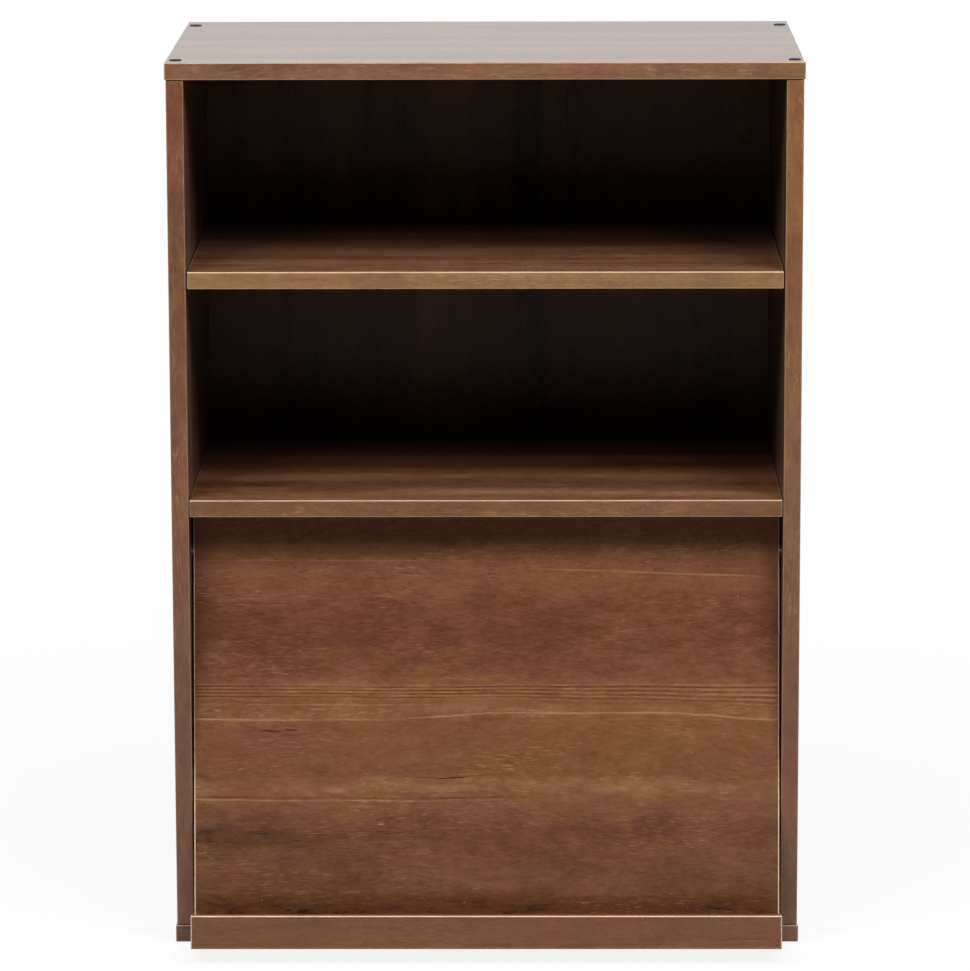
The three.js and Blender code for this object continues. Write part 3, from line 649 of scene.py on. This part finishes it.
def plated_steel():
    """Bright zinc plate with cloudy yellow and blue tints, dull spots, and the marks of turning."""
    material, tree, surface = new_material("plated_steel")
    place = own_place(tree)
    clouds = noise(tree, place, (420.0, 420.0, 420.0), 4.0)
    colour = ramp(
        tree, clouds, [(0.32, (0.50, 0.53, 0.56)), (0.50, (0.61, 0.61, 0.60)), (0.68, (0.68, 0.63, 0.52))]
    )
    spots = patches(tree, place, (1900.0, 1900.0, 1900.0), [(0.60, 0.0), (0.72, 1.0)])
    colour = mix_colour(tree, times(tree, spots, 0.5), colour, (0.30, 0.28, 0.25, 1.0))
    own = stored_vector(tree, "own_place")
    from_axis = vector_node(tree, "LENGTH", vector_node(tree, "MULTIPLY", own, (1.0, 1.0, 0.0)))
    rings = made_by(tree, "ShaderNodeCombineXYZ", {0: from_axis, 1: part_of(tree, own, 2)})
    rings = noise(tree, rings, (9000.0, 9000.0, 1.0))
    roughness = times_plus(tree, clouds, 0.26, 0.16)
    roughness = times_plus(tree, spots, 0.20, roughness)
    finish_surface(tree, surface, colour, roughness, rings, strength=0.35, depth=0.00004)
    set_surface(material, {"Metallic": 1.0})
    return material


def hexagon_socket(tree, inputs):
    return turned_shape(tree, inputs, [
        ("Socket radius", "-Head height"),
        ("Socket radius", "Socket depth"),
        ("Edge", "Socket depth + Edge"),
    ], round_section(tree, 6))


STEEL = plated_steel()
CORNER_SCREW = {
    "Head radius": 0.0050,
    "Head height": 0.0030,
    "Edge": 0.0003,
    "Neck": 0.0012,
    "Core radius": 0.0020,
    "Length": 0.0510,
    "Point": 0.0030,
    "Point radius": 0.0005,
    "Socket radius": 0.0023,
    "Socket depth": 0.0020,
    "Thread start": 0.0130,
    "Thread length": 0.0340,
    "Thread depth": 0.0006,
    "Pitch": 0.0026,
}
THREADED_SHANK = [
    ("Core radius + Thread depth", "Head height"),
    ("Core radius + Thread depth", "Thread start - Neck"),
    ("Core radius", "Thread start"),
    ("Core radius", "Length - Point"),
    ("Point radius", "Length"),
]
tree = turned_fastener("corner_screw", CORNER_SCREW, [
    ("Head radius - Edge", "0"),
    ("Head radius", "Edge"),
    ("Head radius", "Head height - Edge"),
    ("Head radius - Edge", "Head height"),
    *THREADED_SHANK,
], sides=28, seed=11, recess=hexagon_socket, threaded=True)

CORNERS = ["left_front", "left_rear", "right_front", "right_rear"]


def at_corners(name, left_axis, right_axis):
    """The four fasteners of a name, each with the axis along which it is driven."""
    return {name + corner: left_axis if "left" in corner else right_axis for corner in CORNERS}


def numbered(name, count, axis):
    """The fasteners of a name, numbered from 1, all driven along one axis."""
    return {name + str(number): axis for number in range(1, count + 1)}


driven = {**at_corners("top_screw_", DOWN, DOWN), **at_corners("base_screw_", UP, UP)}
fasteners("corner_screws", tree, CORNER_SCREW, STEEL, driven, "case")

# ---- Screw caps ----
# Black moulded plastic caps, each with a low dome over a stem. They are pushed into the screws' holes in
# the top board, to plug them.


def moulded_plastic(name, low, high, roughness, placing=own_place):
    """Moulded plastic with a fine spark-eroded grain, faint flow marks and a few scuffs."""
    material, tree, surface = new_material(name)
    place = placing(tree)
    flow = noise(tree, place, (260.0, 260.0, 90.0), 3.0)
    colour = ramp(tree, flow, [(0.30, low), (0.70, high)])
    scuffs = patches(tree, place, (300.0, 2600.0, 900.0), [(0.64, 0.0), (0.74, 1.0)])
    pale = tuple(0.6 * part + 0.10 for part in high)
    colour = mix_colour(tree, times(tree, scuffs, 0.25), colour, (*pale, 1.0))
    grain = noise(tree, place, (5200.0, 5200.0, 5200.0))
    roughness = times_plus(tree, grain, 0.16, times_plus(tree, scuffs, 0.12, roughness))
    finish_surface(tree, surface, colour, roughness, grain, strength=0.4, depth=0.00003)
    return material


CAP_PLASTIC = moulded_plastic("cap_plastic", (0.008, 0.006, 0.006), (0.016, 0.012, 0.012), 0.62)
set_surface(CAP_PLASTIC, {"Specular IOR Level": 0.22})
SCREW_CAP = {
    "Radius": 0.0060,
    "Height": 0.0005,
    "Edge": 0.0002,
    "Crown radius": 0.0040,
    "Crown rise": 0.0001,
    "Stem radius": 0.0036,
    "Stem edge": 0.0004,
    "Stem length": 0.0022,
    "Middle": 0.0004,
}
tree = turned_fastener("screw_cap", SCREW_CAP, [
    ("Stem radius - Stem edge", "0"),
    ("Stem radius", "Stem edge"),
    ("Stem radius", "Stem length"),
    ("Radius", "Stem length"),
    ("Radius", "Stem length + Edge"),
    ("Radius - Edge", "Stem length + Height - Crown rise"),
    ("Crown radius", "Stem length + Height"),
    ("Middle", "Stem length + Height"),
], sides=40, seed=12)
driven = at_corners("screw_cap_", UP, UP)
fasteners("screw_caps", tree, SCREW_CAP, CAP_PLASTIC, driven, "case")

# ---- Shelf pegs ----
# Four white nylon pegs with ribbed stems, pushed into the bored rows of the side panels. The upper shelf
# lies on them.


def milky_nylon(name, placing=own_place):
    material = moulded_plastic(name, (0.62, 0.61, 0.56), (0.72, 0.71, 0.67), 0.34, placing)
    set_surface(material, {
        "Subsurface Weight": 0.2, "Subsurface Radius": (1.0, 0.9, 0.8), "Subsurface Scale": 0.0008,
    })
    return material


SHELF_PEG = {
    "Radius": 0.0025,
    "Ease": 0.0005,
    "Insertion": 0.0100,
    "Reach": 0.0090,
    "Rib": 0.0002,
    "Rib step": 0.0018,
}
outline = [
    ("Radius - Ease", "0"),
    ("Radius - Rib", "Rib"),
    ("Radius", "Ease"),
    ("Radius", "Reach"),
]
rib_count = 4
for rib in range(1, rib_count + 1):
    before = "Reach" + " + Rib step" * rib
    outline += [
        ("Radius", before + " - Rib"),
        ("Radius - Rib", before),
        ("Radius", before + " + Rib"),
    ]
outline += [("Radius", "Reach + Insertion - Ease"), ("Radius - Ease", "Reach + Insertion")]
tree = turned_fastener("shelf_peg", SHELF_PEG, outline, sides=28, seed=13)
driven = at_corners("shelf_peg_", LEFTWARD, RIGHTWARD)
fasteners("shelf_pegs", tree, SHELF_PEG, milky_nylon("peg_nylon"), driven, "case")

# ---- Cam bolts and cams ----
# Each end of the fixed shelf is drawn to its side panel by two plated steel bolts. A drum of die-cast zinc
# in the underside of the shelf turns round the head of each bolt and pulls it in.

CAM_BOLT = {
    "Core radius": 0.0023,
    "Thread start": 0.0010,
    "Thread length": 0.0085,
    "Thread depth": 0.0007,
    "Pitch": 0.0021,
    "Point": 0.0010,
    "Point radius": 0.0012,
    "Insertion": 0.0105,
    "Shank radius": 0.0030,
    "Neck radius": 0.0020,
    "Neck start": 0.0378,
    "Neck length": 0.0055,
    "Head radius": 0.0034,
    "Head length": 0.0024,
    "Edge": 0.0005,
}
tree = turned_fastener("cam_bolt", CAM_BOLT, [
    ("Point radius", "0"),
    ("Core radius", "Point"),
    ("Core radius", "Insertion"),
    ("Shank radius", "Insertion + Edge"),
    ("Shank radius", "Neck start - Edge"),
    ("Shank radius - Edge", "Neck start"),
    ("Neck radius", "Neck start"),
    ("Neck radius", "Neck start + Neck length - Edge"),
    ("Head radius - Edge", "Neck start + Neck length"),
    ("Head radius", "Neck start + Neck length + Edge"),
    ("Head radius", "Neck start + Neck length + Head length - Edge"),
    ("Head radius - Edge", "Neck start + Neck length + Head length"),
], sides=24, seed=14, threaded=True)
driven = at_corners("cam_bolt_", RIGHTWARD, LEFTWARD)
fasteners("cam_bolts", tree, CAM_BOLT, STEEL, driven, "case")


def die_cast_zinc():
    """Dull grey cast zinc, grainy where it left the mould and brighter where a driver has rubbed it."""
    material, tree, surface = new_material("cam_zinc")
    place = object_place(tree)
    clouds = noise(tree, place, (310.0, 310.0, 310.0), 4.0)
    colour = ramp(
        tree, clouds, [(0.30, (0.30, 0.30, 0.31)), (0.55, (0.41, 0.41, 0.42)), (0.72, (0.50, 0.50, 0.50))]
    )
    grain = noise(tree, place, (3400.0, 3400.0, 3400.0), 3.0)
    roughness = times_plus(tree, grain, 0.30, 0.34)
    finish_surface(tree, surface, colour, roughness, grain, strength=0.5, depth=0.00005)
    set_surface(material, {"Metallic": 1.0})
    return material


CAM_ZINC = die_cast_zinc()
for corner in CORNERS:
    set_materials(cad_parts["cam_lock_" + corner].data, CAM_ZINC)

# ---- Shelf dowels ----
# Fluted beech dowels that keep the fixed shelf in line. They are glued into bores in the side panels and in
# the ends of the shelf.


def beech_wood():
    """Pale pinkish beech with faint growth lines along the dowel and short dark rays."""
    material, tree, surface = new_material("dowel_beech")
    place = own_place(tree)
    lines = noise(tree, place, (900.0, 900.0, 22.0), 3.0)
    colour = ramp(
        tree, lines, [(0.28, (0.42, 0.25, 0.13)), (0.50, (0.55, 0.36, 0.20)), (0.74, (0.63, 0.44, 0.27))]
    )
    rays = patches(tree, place, (3600.0, 3600.0, 620.0), [(0.64, 0.0), (0.70, 1.0)], 1.0)
    colour = mix_colour(tree, times(tree, rays, 0.55), colour, (0.27, 0.13, 0.06, 1.0))
    roughness = times_plus(tree, lines, 0.22, 0.46)
    relief = minus(tree, lines, times(tree, rays, 0.4))
    finish_surface(tree, surface, colour, roughness, relief, strength=0.5, depth=0.00008)
    return material


def fluted_section(tree, flutes):
    flute_depth = 0.055
    star = {"Points": flutes, "Inner Radius": 1.0 - flute_depth, "Outer Radius": 1.0}
    return made_by(tree, "GeometryNodeCurveStar", star)


DOWEL = {
    "Radius": 0.0040,
    "Length": 0.0300,
    "Ease": 0.0010,
}
DOWEL_TREE = turned_fastener("dowel", DOWEL, [
    ("Radius - Ease", "0"),
    ("Radius", "Ease"),
    ("Radius", "Length - Ease"),
    ("Radius - Ease", "Length"),
], sides=24, seed=15, section=fluted_section)
BEECH = beech_wood()
driven = at_corners("shelf_dowel_", LEFTWARD, RIGHTWARD)
fasteners("shelf_dowels", DOWEL_TREE, DOWEL, BEECH, driven, "case")

# ---- Back screws ----
# Three small plated steel screws with pan heads and cross recesses. They hold the back panel to the rear
# edge of the fixed shelf.


def cross_recess(tree, inputs):
    cross = {"Points": 4, "Inner Radius": 0.34, "Outer Radius": 1.0}
    return turned_shape(tree, inputs, [
        ("Recess reach", "-Recess depth"),
        ("Recess reach", "0"),
        ("Recess tip", "Recess depth"),
    ], made_by(tree, "GeometryNodeCurveStar", cross))


BACK_SCREW = {
    "Head radius": 0.0035,
    "Crown radius": 0.00245,
    "Shoulder": 0.00045,
    "Head height": 0.0020,
    "Edge": 0.0002,
    "Neck": 0.0002,
    "Core radius": 0.0012,
    "Thread start": 0.0050,
    "Thread length": 0.0225,
    "Thread depth": 0.0005,
    "Pitch": 0.0015,
    "Length": 0.0300,
    "Point": 0.0030,
    "Point radius": 0.0002,
    "Recess reach": 0.0021,
    "Recess tip": 0.0007,
    "Recess depth": 0.0012,
}
tree = turned_fastener("back_screw", BACK_SCREW, [
    ("Crown radius", "0"),
    ("Head radius - Shoulder", "Shoulder"),
    ("Head radius", "Shoulder + Shoulder"),
    ("Head radius", "Head height - Edge"),
    ("Head radius - Edge", "Head height"),
    *THREADED_SHANK,
], sides=28, seed=16, recess=cross_recess, threaded=True)
driven = numbered("back_screw_", 3, (0.0, -1.0, 0.0))
fasteners("back_screws", tree, BACK_SCREW, STEEL, driven, "case")

# ---- Door ----
# One foil-wrapped particle board that leans back in the lowest bay and hangs on its two pivot pins. The
# grain runs across. The print has a dark red field at the top, a bundle of fine lines below the middle, and
# short checks, a small knot and a flat swirl lower down.

lean = math.radians(9)
pivot_low, pivot_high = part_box("pivot_pin_left")
pivot = (pivot_low + pivot_high) / 2
# After this turn and shift, the third axis is the height along the door above its pivot.
door_turn = (lean, 0.0, 0.0)
door_shift = (
    0.0,
    -(pivot.y * math.cos(lean) - pivot.z * math.sin(lean)),
    -(pivot.y * math.sin(lean) + pivot.z * math.cos(lean)),
)
DOOR_LOW = -0.380
DOOR_SPAN = 0.420
CASE_WIDTH = 0.6
# Height above the pivot, then the tone there.
# The two lowest stops darken the door just above the tray, partly as print and partly as painted shade from
# the lip.
DOOR_BANDS = [
    (-0.352, 0.12), (-0.341, 0.18), (-0.328, 0.40), (-0.300, 0.42), (-0.272, 0.33), (-0.255, 0.50),
    (-0.238, 0.66), (-0.228, 0.79), (-0.220, 0.74), (-0.216, 0.56), (-0.190, 0.58), (-0.168, 0.64),
    (-0.160, 0.76), (-0.144, 0.66), (-0.127, 0.62), (-0.122, 0.46), (-0.080, 0.34), (-0.050, 0.36),
    (-0.028, 0.60), (-0.015, 0.70), (0.040, 0.56),
]
# Height above the pivot, fall for each metre to the right, half thickness, left end, right end, depth.
DOOR_LINES = [
    (-0.2398, 0.0, 0.0011, -0.34, 0.04, 0.62),
    (-0.2372, 0.0, 0.0010, -0.34, 0.07, -0.50),
    (-0.2165, 0.0, 0.0009, -0.10, 0.06, -0.35),
    (-0.1625, 0.0, 0.0013, -0.34, 0.34, 0.75),
    (-0.1480, 0.0, 0.0010, -0.34, 0.02, 0.40),
    (-0.0165, 0.034, 0.0010, 0.02, 0.34, 0.60),
    (-0.0105, 0.004, 0.0012, -0.34, -0.02, 0.40),
]
BUNDLE_TOP = -0.1280
BUNDLE_STEP = 0.0033
BUNDLE_SPAN = 0.02
# The grain rises over a flat swirl on the right: how far, then where along the door, then at which heights.
LIFTS = [
    (
        0.0062, [(-0.13, 0.0), (0.02, 1.0), (0.18, 1.0), (0.275, 0.0)],
        [(-0.225, 0.0), (-0.170, 1.0), (-0.153, 1.0), (-0.144, 0.0)],
    ),
    (0.0120, [(0.10, 0.0), (0.19, 1.0), (0.28, 0.0)], [(-0.230, 0.0), (-0.186, 1.0), (-0.170, 0.0)]),
]
# Along the door, above the pivot, half length, half height, depth.
CHECKS = [
    (-0.2080, -0.1742, 0.0120, 0.00065, -0.75),
    (-0.1870, -0.1722, 0.0065, 0.00070, -0.85),
    (-0.0310, -0.2190, 0.0200, 0.00065, -0.80),
    (-0.0560, -0.2183, 0.0180, 0.00040, -0.40),
    (-0.1014, -0.2622, 0.0036, 0.00260, 0.34),
    (-0.2580, -0.1535, 0.0040, 0.00120, 0.45),
    (-0.2660, -0.1545, 0.0060, 0.00050, -0.50),
    (-0.2150, -0.2760, 0.0900, 0.01100, -0.13),
    (0.1600, -0.2620, 0.0260, 0.02000, -0.12),
    (-0.1430, -0.2324, 0.0120, 0.00350, 0.14),
    (-0.0360, -0.2285, 0.0300, 0.00400, 0.15),
    (0.2621, -0.0270, 0.0008, 0.00080, 0.85),
    (0.2410, -0.0452, 0.0007, 0.00120, 0.60),
]


def up_door(stops):
    """Stops at heights above the pivot, as shares of the way up the door."""
    return [((height - DOOR_LOW) / DOOR_SPAN, shade) for height, shade in stops]


def along_door(stops):
    return [(along / CASE_WIDTH + 0.5, shade) for along, shade in stops]


def door_share(tree, height):
    """How far up the door a height is, from 0, under its foot, to 1, over its top."""
    return times(tree, minus(tree, height, DOOR_LOW), 1 / DOOR_SPAN)


def door_bend(tree, placed):
    """Lifts the print over the swirl."""
    along, depth, height = add_node(tree, "ShaderNodeSeparateXYZ", {0: placed}).outputs
    across = times_plus(tree, along, 1 / CASE_WIDTH, 0.5)
    share = door_share(tree, height)
    for rise, places, heights in LIFTS:
        lift = grey_ramp(tree, across, along_door(places), "EASE")
        reach = grey_ramp(tree, share, up_door(heights), "EASE")
        height = times_plus(tree, times(tree, lift, reach), -rise, height)
    return made_by(tree, "ShaderNodeCombineXYZ", {0: along, 1: depth, 2: height})


def door_tint(tree, placed):
    """The print is redder at the top of the door, and its foot is a little greyer with a painted sheen."""
    return ramp(tree, door_share(tree, part_of(tree, placed, 2)), up_door([
        (-0.340, (0.95, 1.03, 1.02)),
        (-0.250, (0.98, 1.01, 1.00)),
        (-0.040, (1.00, 1.00, 1.02)),
        (0.000, (1.10, 0.96, 1.00)),
    ]))


def door_figure(tree, placed, swayed, level):
    """The print's bands, with some painted shade at the foot, then its single lines, its bundle of lines,
    and its marks.
    """
    along = part_of(tree, placed, 0)
    height = part_of(tree, swayed, 2)
    tone = grey_ramp(tree, door_share(tree, height), up_door(DOOR_BANDS))
    lighter_rightward = 0.16
    tone = math_node(tree, "ADD", times_plus(tree, along, lighter_rightward, tone), level)
    # Thin lines follow the grain more closely than the bands do, and break up along their length.
    wander = minus(tree, noise(tree, placed, (4.5, 3.0, 3.0)), 0.5)
    wander_reach = 0.007
    close = times_plus(tree, wander, wander_reach, part_of(tree, placed, 2))
    broken = patches(tree, placed, (17.0, 240.0, 240.0), [(0.38, 0.25), (0.56, 1.0)], 3.0)
    fade = 18.0
    for middle, fall, half, left, right, depth in DOOR_LINES:
        off = minus(tree, times_plus(tree, along, fall, close), middle)
        line = times_plus(tree, math_node(tree, "ABSOLUTE", off), -1 / half, 1.0, clamp=True)
        from_middle = math_node(tree, "ABSOLUTE", minus(tree, along, (left + right) / 2))
        ends = times_plus(tree, from_middle, -fade, fade * (right - left) / 2, clamp=True)
        line = times(tree, times(tree, line, broken), ends)
        tone = times_plus(tree, line, depth, tone)
    # A bundle of pale and dark lines in turn, which spreads to the right.
    widening, depth = 1.2, 0.36
    spread = times_plus(tree, math_node(tree, "MAXIMUM", along, 0.0), -widening, 1.0)
    below = times(tree, minus(tree, close, BUNDLE_TOP), spread)
    wave = math_node(tree, "SINE", times(tree, below, -math.tau / BUNDLE_STEP))
    inside = [(0.0, 0.0), (0.03, 1.0), (0.62, 1.0), (0.78, 0.0)]
    inside = grey_ramp(tree, times(tree, below, -1 / BUNDLE_SPAN), inside)
    tone = times_plus(tree, times(tree, times(tree, wave, inside), broken), depth, tone)
    # Checks, the knot and soft clouds are ovals, a little bent with the grain.
    bends_per_metre, bend_rise = 95.0, 0.0007
    bend = times(tree, math_node(tree, "SINE", times(tree, along, bends_per_metre)), bend_rise)
    raised = math_node(tree, "ADD", part_of(tree, placed, 2), bend)
    for x, rise, half_length, half_height, depth in CHECKS:
        reach = times(tree, minus(tree, along, x), 1 / half_length)
        lift = times(tree, minus(tree, raised, rise), 1 / half_height)
        off = times_plus(tree, reach, reach, times(tree, lift, lift))
        mark = math_node(tree, "SMOOTH_MIN", minus(tree, 1.0, off, clamp=True), 0.5, 0.4)
        tone = times_plus(tree, mark, 2 * depth, tone)
    return tone


foiled_board(
    "door_panel", "door",
    walnut_foil("foil_door", door_turn, door_shift, 0.04, 1.0, door_figure, tint=door_tint, bend=door_bend),
    tilt=lean,
)

# ---- Tray and lip ----
# A narrow foil-wrapped shelf to display things on, screwed to the foot of the door, and a lip board that is
# dowelled along its front.

foiled_board(
    "tray_board", "door",
    walnut_foil("foil_tray", door_turn, (0.7, 0.1, 0.3), 0.45, 0.3),
    tilt=lean,
)
foiled_board(
    "lip_board", "door",
    walnut_foil(
        "foil_lip", door_turn, (1.9, 0.3, 0.8), 0.60, 0.75, strip_figure(0.0), contrast=0.55,
        tint=(0.93, 0.98, 1.16),
    ),
    tilt=lean,
    # The lip's lower arrises get a painted shadow.
    closed=[(0.0, -math.sin(lean), -math.cos(lean))],
)

# ---- Tray screws and lip dowels ----
# Three countersunk steel screws run through the back of the door into the tray. Four fluted beech dowels
# are glued between the tray and the lip.

door_inward = (0.0, math.cos(lean), -math.sin(lean))
door_outward = (0.0, -math.cos(lean), math.sin(lean))
TRAY_SCREW = {
    "Head radius": 0.0040,
    "Head height": 0.0024,
    "Rim": 0.0002,
    "Neck": 0.0002,
    "Core radius": 0.0014,
    "Thread start": 0.0100,
    "Thread length": 0.0235,
    "Thread depth": 0.0006,
    "Pitch": 0.0018,
    "Length": 0.0360,
    "Point": 0.0035,
    "Point radius": 0.0002,
    "Recess reach": 0.0024,
    "Recess tip": 0.0008,
    "Recess depth": 0.0015,
}
tree = turned_fastener("tray_screw", TRAY_SCREW, [
    ("Head radius - Rim", "0"),
    ("Head radius", "Rim"),
    *THREADED_SHANK,
], sides=28, seed=17, recess=cross_recess, threaded=True)
driven = numbered("tray_screw_", 3, door_outward)
fasteners("tray_screws", tree, TRAY_SCREW, STEEL, driven, "door")
driven = numbered("lip_dowel_", 4, door_outward)
fasteners("lip_dowels", DOWEL_TREE, DOWEL, BEECH, driven, "door")

# ---- Pivot pins and guide pins ----
# A plated steel pin pressed into each edge of the door turns in its runner. A moulded plastic pin above it
# follows the curved track in the side panel.

PIN = {
    "Radius": 0.0030,
    "Ease": 0.0005,
    "Half ease": 0.00018,
    "Length": 0.0234,
    "Groove": 0.0003,
    "Groove start": 0.0040,
    "Groove step": 0.0030,
}
pin_outline = [
    ("Radius - Ease", "0"),
    ("Radius - Half ease", "Half ease"),
    ("Radius", "Ease"),
]
groove_count = 3
for groove in range(groove_count):
    middle = "Groove start" + " + Groove step" * groove
    pin_outline += [
        ("Radius", middle + " - Groove"),
        ("Radius - Groove", middle),
        ("Radius", middle + " + Groove"),
    ]
pin_outline += [
    ("Radius", "Length - Ease"),
    ("Radius - Half ease", "Length - Half ease"),
    ("Radius - Ease", "Length"),
]
tree = turned_fastener("turned_pin", PIN, pin_outline, sides=28, seed=18)
ends = {"left": LEFTWARD, "right": RIGHTWARD}
driven = {"pivot_pin_" + side: axis for side, axis in ends.items()}
fasteners("pivot_pins", tree, PIN, STEEL, driven, "door")

GUIDE_PLASTIC = moulded_plastic("guide_plastic", (0.010, 0.009, 0.009), (0.020, 0.018, 0.018), 0.36)
driven = {"guide_pin_" + side: axis for side, axis in ends.items()}
GUIDE_PIN = {**PIN, "Length": 0.0185}
fasteners("guide_pins", tree, GUIDE_PIN, GUIDE_PLASTIC, driven, "door")

# ---- Bumpers ----
# Two soft grey rubber discs with a shallow dish, stuck to the foot of the door's back. They meet the base
# board when the door is shut.


def grey_rubber():
    """Matt grey rubber, dusty in patches, with fine pits."""
    material, tree, surface = new_material("bumper_rubber")
    place = own_place(tree)
    dust = noise(tree, place, (520.0, 520.0, 520.0), 4.0)
    colour = ramp(tree, dust, [
        (0.35, (0.045, 0.045, 0.048)), (0.60, (0.075, 0.075, 0.078)), (0.75, (0.14, 0.135, 0.13)),
    ])
    pits = noise(tree, place, (4200.0, 4200.0, 4200.0))
    roughness = times_plus(tree, pits, 0.20, 0.70)
    finish_surface(tree, surface, colour, roughness, pits, strength=0.6, depth=0.00006)
    return material


BUMPER = {
    "Radius": 0.0050,
    "Height": 0.00305,
    "Ease": 0.0012,
    "Half ease": 0.00035,
    "Flat radius": 0.0030,
    "Dish radius": 0.0022,
    "Dish": 0.0003,
}
tree = turned_fastener("bumper", BUMPER, [
    ("Radius", "0"),
    ("Radius", "Height - Ease"),
    ("Radius - Half ease", "Height - Half ease"),
    ("Radius - Ease", "Height"),
    ("Flat radius", "Height"),
    ("Dish radius", "Height - Dish"),
], sides=32, seed=20)
driven = {"door_bumper_" + side: door_inward for side in ends}
fasteners("door_bumpers", tree, BUMPER, grey_rubber(), driven, "door")

# ---- Runners ----
# White nylon blocks, eased all round, that slide back along the straight track in each side panel. The
# door's pivot pins turn in them.

RUNNER_NYLON = milky_nylon("runner_nylon", object_place)
rim_angle = math.radians(60)
for side in ends:
    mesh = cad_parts["runner_" + side].data.copy()
    made = opened_mesh(mesh, level_faces=math.radians(1))
    rim = [edge for edge in made.edges if edge.is_manifold and edge.calc_face_angle() > rim_angle]
    round_edges(made, rim, width=0.0003, clamp=True)
    close_mesh(made, mesh, crease=math.radians(40))
    set_materials(mesh, RUNNER_NYLON)
    runner = new_object("nylon_runner_" + side, mesh)
    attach(runner, "runners")
    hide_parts("runner_" + side)

# ---- Floor, light and camera ----
# A white floor and white surroundings, two broad soft lamps high in front, and a weaker one low behind. A
# black flag behind the camera keeps the white surroundings out of the gloss of the front.


def seen_plainly(tree):
    """1 for what is seen straight, in a gloss or through glass, and 0 for what lights the case."""
    paths = add_node(tree, "ShaderNodeLightPath").outputs
    seen = math_node(tree, "MAXIMUM", paths["Is Camera Ray"], paths["Is Glossy Ray"])
    return math_node(tree, "MAXIMUM", seen, paths["Is Transmission Ray"])


def grey(level):
    return (level, level, level, 1.0)


def mix_shader(tree, share, first, second):
    return made_by(tree, "ShaderNodeMixShader", {0: share, 1: first, 2: second})


world = bpy.data.worlds.new("white_surroundings")
bpy.context.scene.world = world
world.use_nodes = True
tree = world.node_tree
seen = seen_plainly(tree)
dim = made_by(tree, "ShaderNodeBackground", {"Color": grey(1.0), "Strength": 0.06})
white = made_by(tree, "ShaderNodeBackground", {"Color": grey(1.0), "Strength": 1.0})
set_inputs(tree, tree.nodes["World Output"], {"Surface": mix_shader(tree, seen, dim, white)})


def stage_plane(name, corners, material):
    mesh = bpy.data.meshes.new(name)
    mesh.from_pydata(corners, [], [tuple(range(len(corners)))])
    mesh.materials.append(material)
    plane = new_object(name, mesh)
    return plane


floor_material = bpy.data.materials.new("white_floor")
floor_material.use_nodes = True
tree = floor_material.node_tree
tree.nodes.remove(tree.nodes["Principled BSDF"])
seen = seen_plainly(tree)
glow = made_by(tree, "ShaderNodeEmission", {"Color": grey(1.0), "Strength": 1.0})
pale = made_by(tree, "ShaderNodeBsdfDiffuse", {"Color": grey(0.8)})
# The shadow shows near the case, and fades into plain white further out.
away = vector_node(tree, "LENGTH", object_place(tree))
share = grey_ramp(tree, times(tree, away, 0.5), [(0.20, 0.12), (0.80, 0.0)])
lit = mix_shader(tree, share, glow, pale)
dark = made_by(tree, "ShaderNodeBsdfDiffuse", {"Color": grey(0.25)})
blend = mix_shader(tree, seen, dark, lit)
# From below, the floor is clear, so that the feet of the case can be seen.
below = add_node(tree, "ShaderNodeNewGeometry").outputs["Backfacing"]
blend = mix_shader(tree, below, blend, made_by(tree, "ShaderNodeBsdfTransparent"))
set_inputs(tree, tree.nodes["Material Output"], {"Surface": blend})
half_floor = 8.0
ground = -0.0002
floor_corners = [(half_floor * x, half_floor * y, ground) for x, y in [(-1, -1), (1, -1), (1, 1), (-1, 1)]]
stage_plane("floor", floor_corners, floor_material)

flag_material = new_material("black_flag")[0]
set_surface(flag_material, {"Base Color": grey(0.004), "Specular IOR Level": 0.0})
flag_y, half_flag, flag_top = -6.0, 7.0, 9.0
flag_corners = [(half_flag * x, flag_y, flag_top * z) for x, z in [(-1, 0), (1, 0), (1, 1), (-1, 1)]]
flag = stage_plane("black_flag", flag_corners, flag_material)
flag.visible_camera = False
flag.visible_shadow = False


def area_lamp(name, place, aim, width, depth, strength):
    data = bpy.data.lights.new(name, "AREA")
    data.shape = "RECTANGLE"
    data.size = width
    data.size_y = depth
    data.energy = strength
    lamp = new_object(name, data)
    lamp.location = place
    lamp.rotation_euler = (Vector(aim) - Vector(place)).to_track_quat("-Z", "Y").to_euler()
    return lamp


lamp_distance = 3.0
lamp_rise = math.radians(49)
lamp_aim = Vector((0.0, -0.18, 0.45))
for lamp_name, bearing in {"lamp_left": -40, "lamp_right": 40}.items():
    turn = math.radians(bearing)
    toward = Vector((math.sin(turn), -math.cos(turn), 0.0)) * math.cos(lamp_rise)
    toward.z = math.sin(lamp_rise)
    area_lamp(lamp_name, lamp_aim + lamp_distance * toward, lamp_aim, width=1.4, depth=1.6, strength=83.0)
behind = area_lamp("lamp_behind", (0.9, 3.2, 0.40), (0.0, 0.18, 0.40), width=1.6, depth=0.76, strength=30.0)
behind.visible_camera = False

camera_data = bpy.data.cameras.new("camera")
camera_data.sensor_fit = "VERTICAL"
camera_data.sensor_height = 36.0
camera_data.lens = 194.971
camera_data.clip_end = 60.0
camera = new_object("camera", camera_data)
bpy.context.scene.camera = camera
camera_place = (0.04403, -5.0781, 1.4021)
yaw = 0.00914544580
pitch = 0.192394261
roll = 0.00260310358
camera_turn = Matrix.Identity(4)
for angle, axis in ((yaw, "Z"), (math.radians(90) - pitch, "X"), (-roll, "Z")):
    camera_turn @= Matrix.Rotation(angle, 4, axis)
camera.matrix_world = Matrix.Translation(camera_place) @ camera_turn

bpy.context.scene.view_settings.view_transform = "Standard"
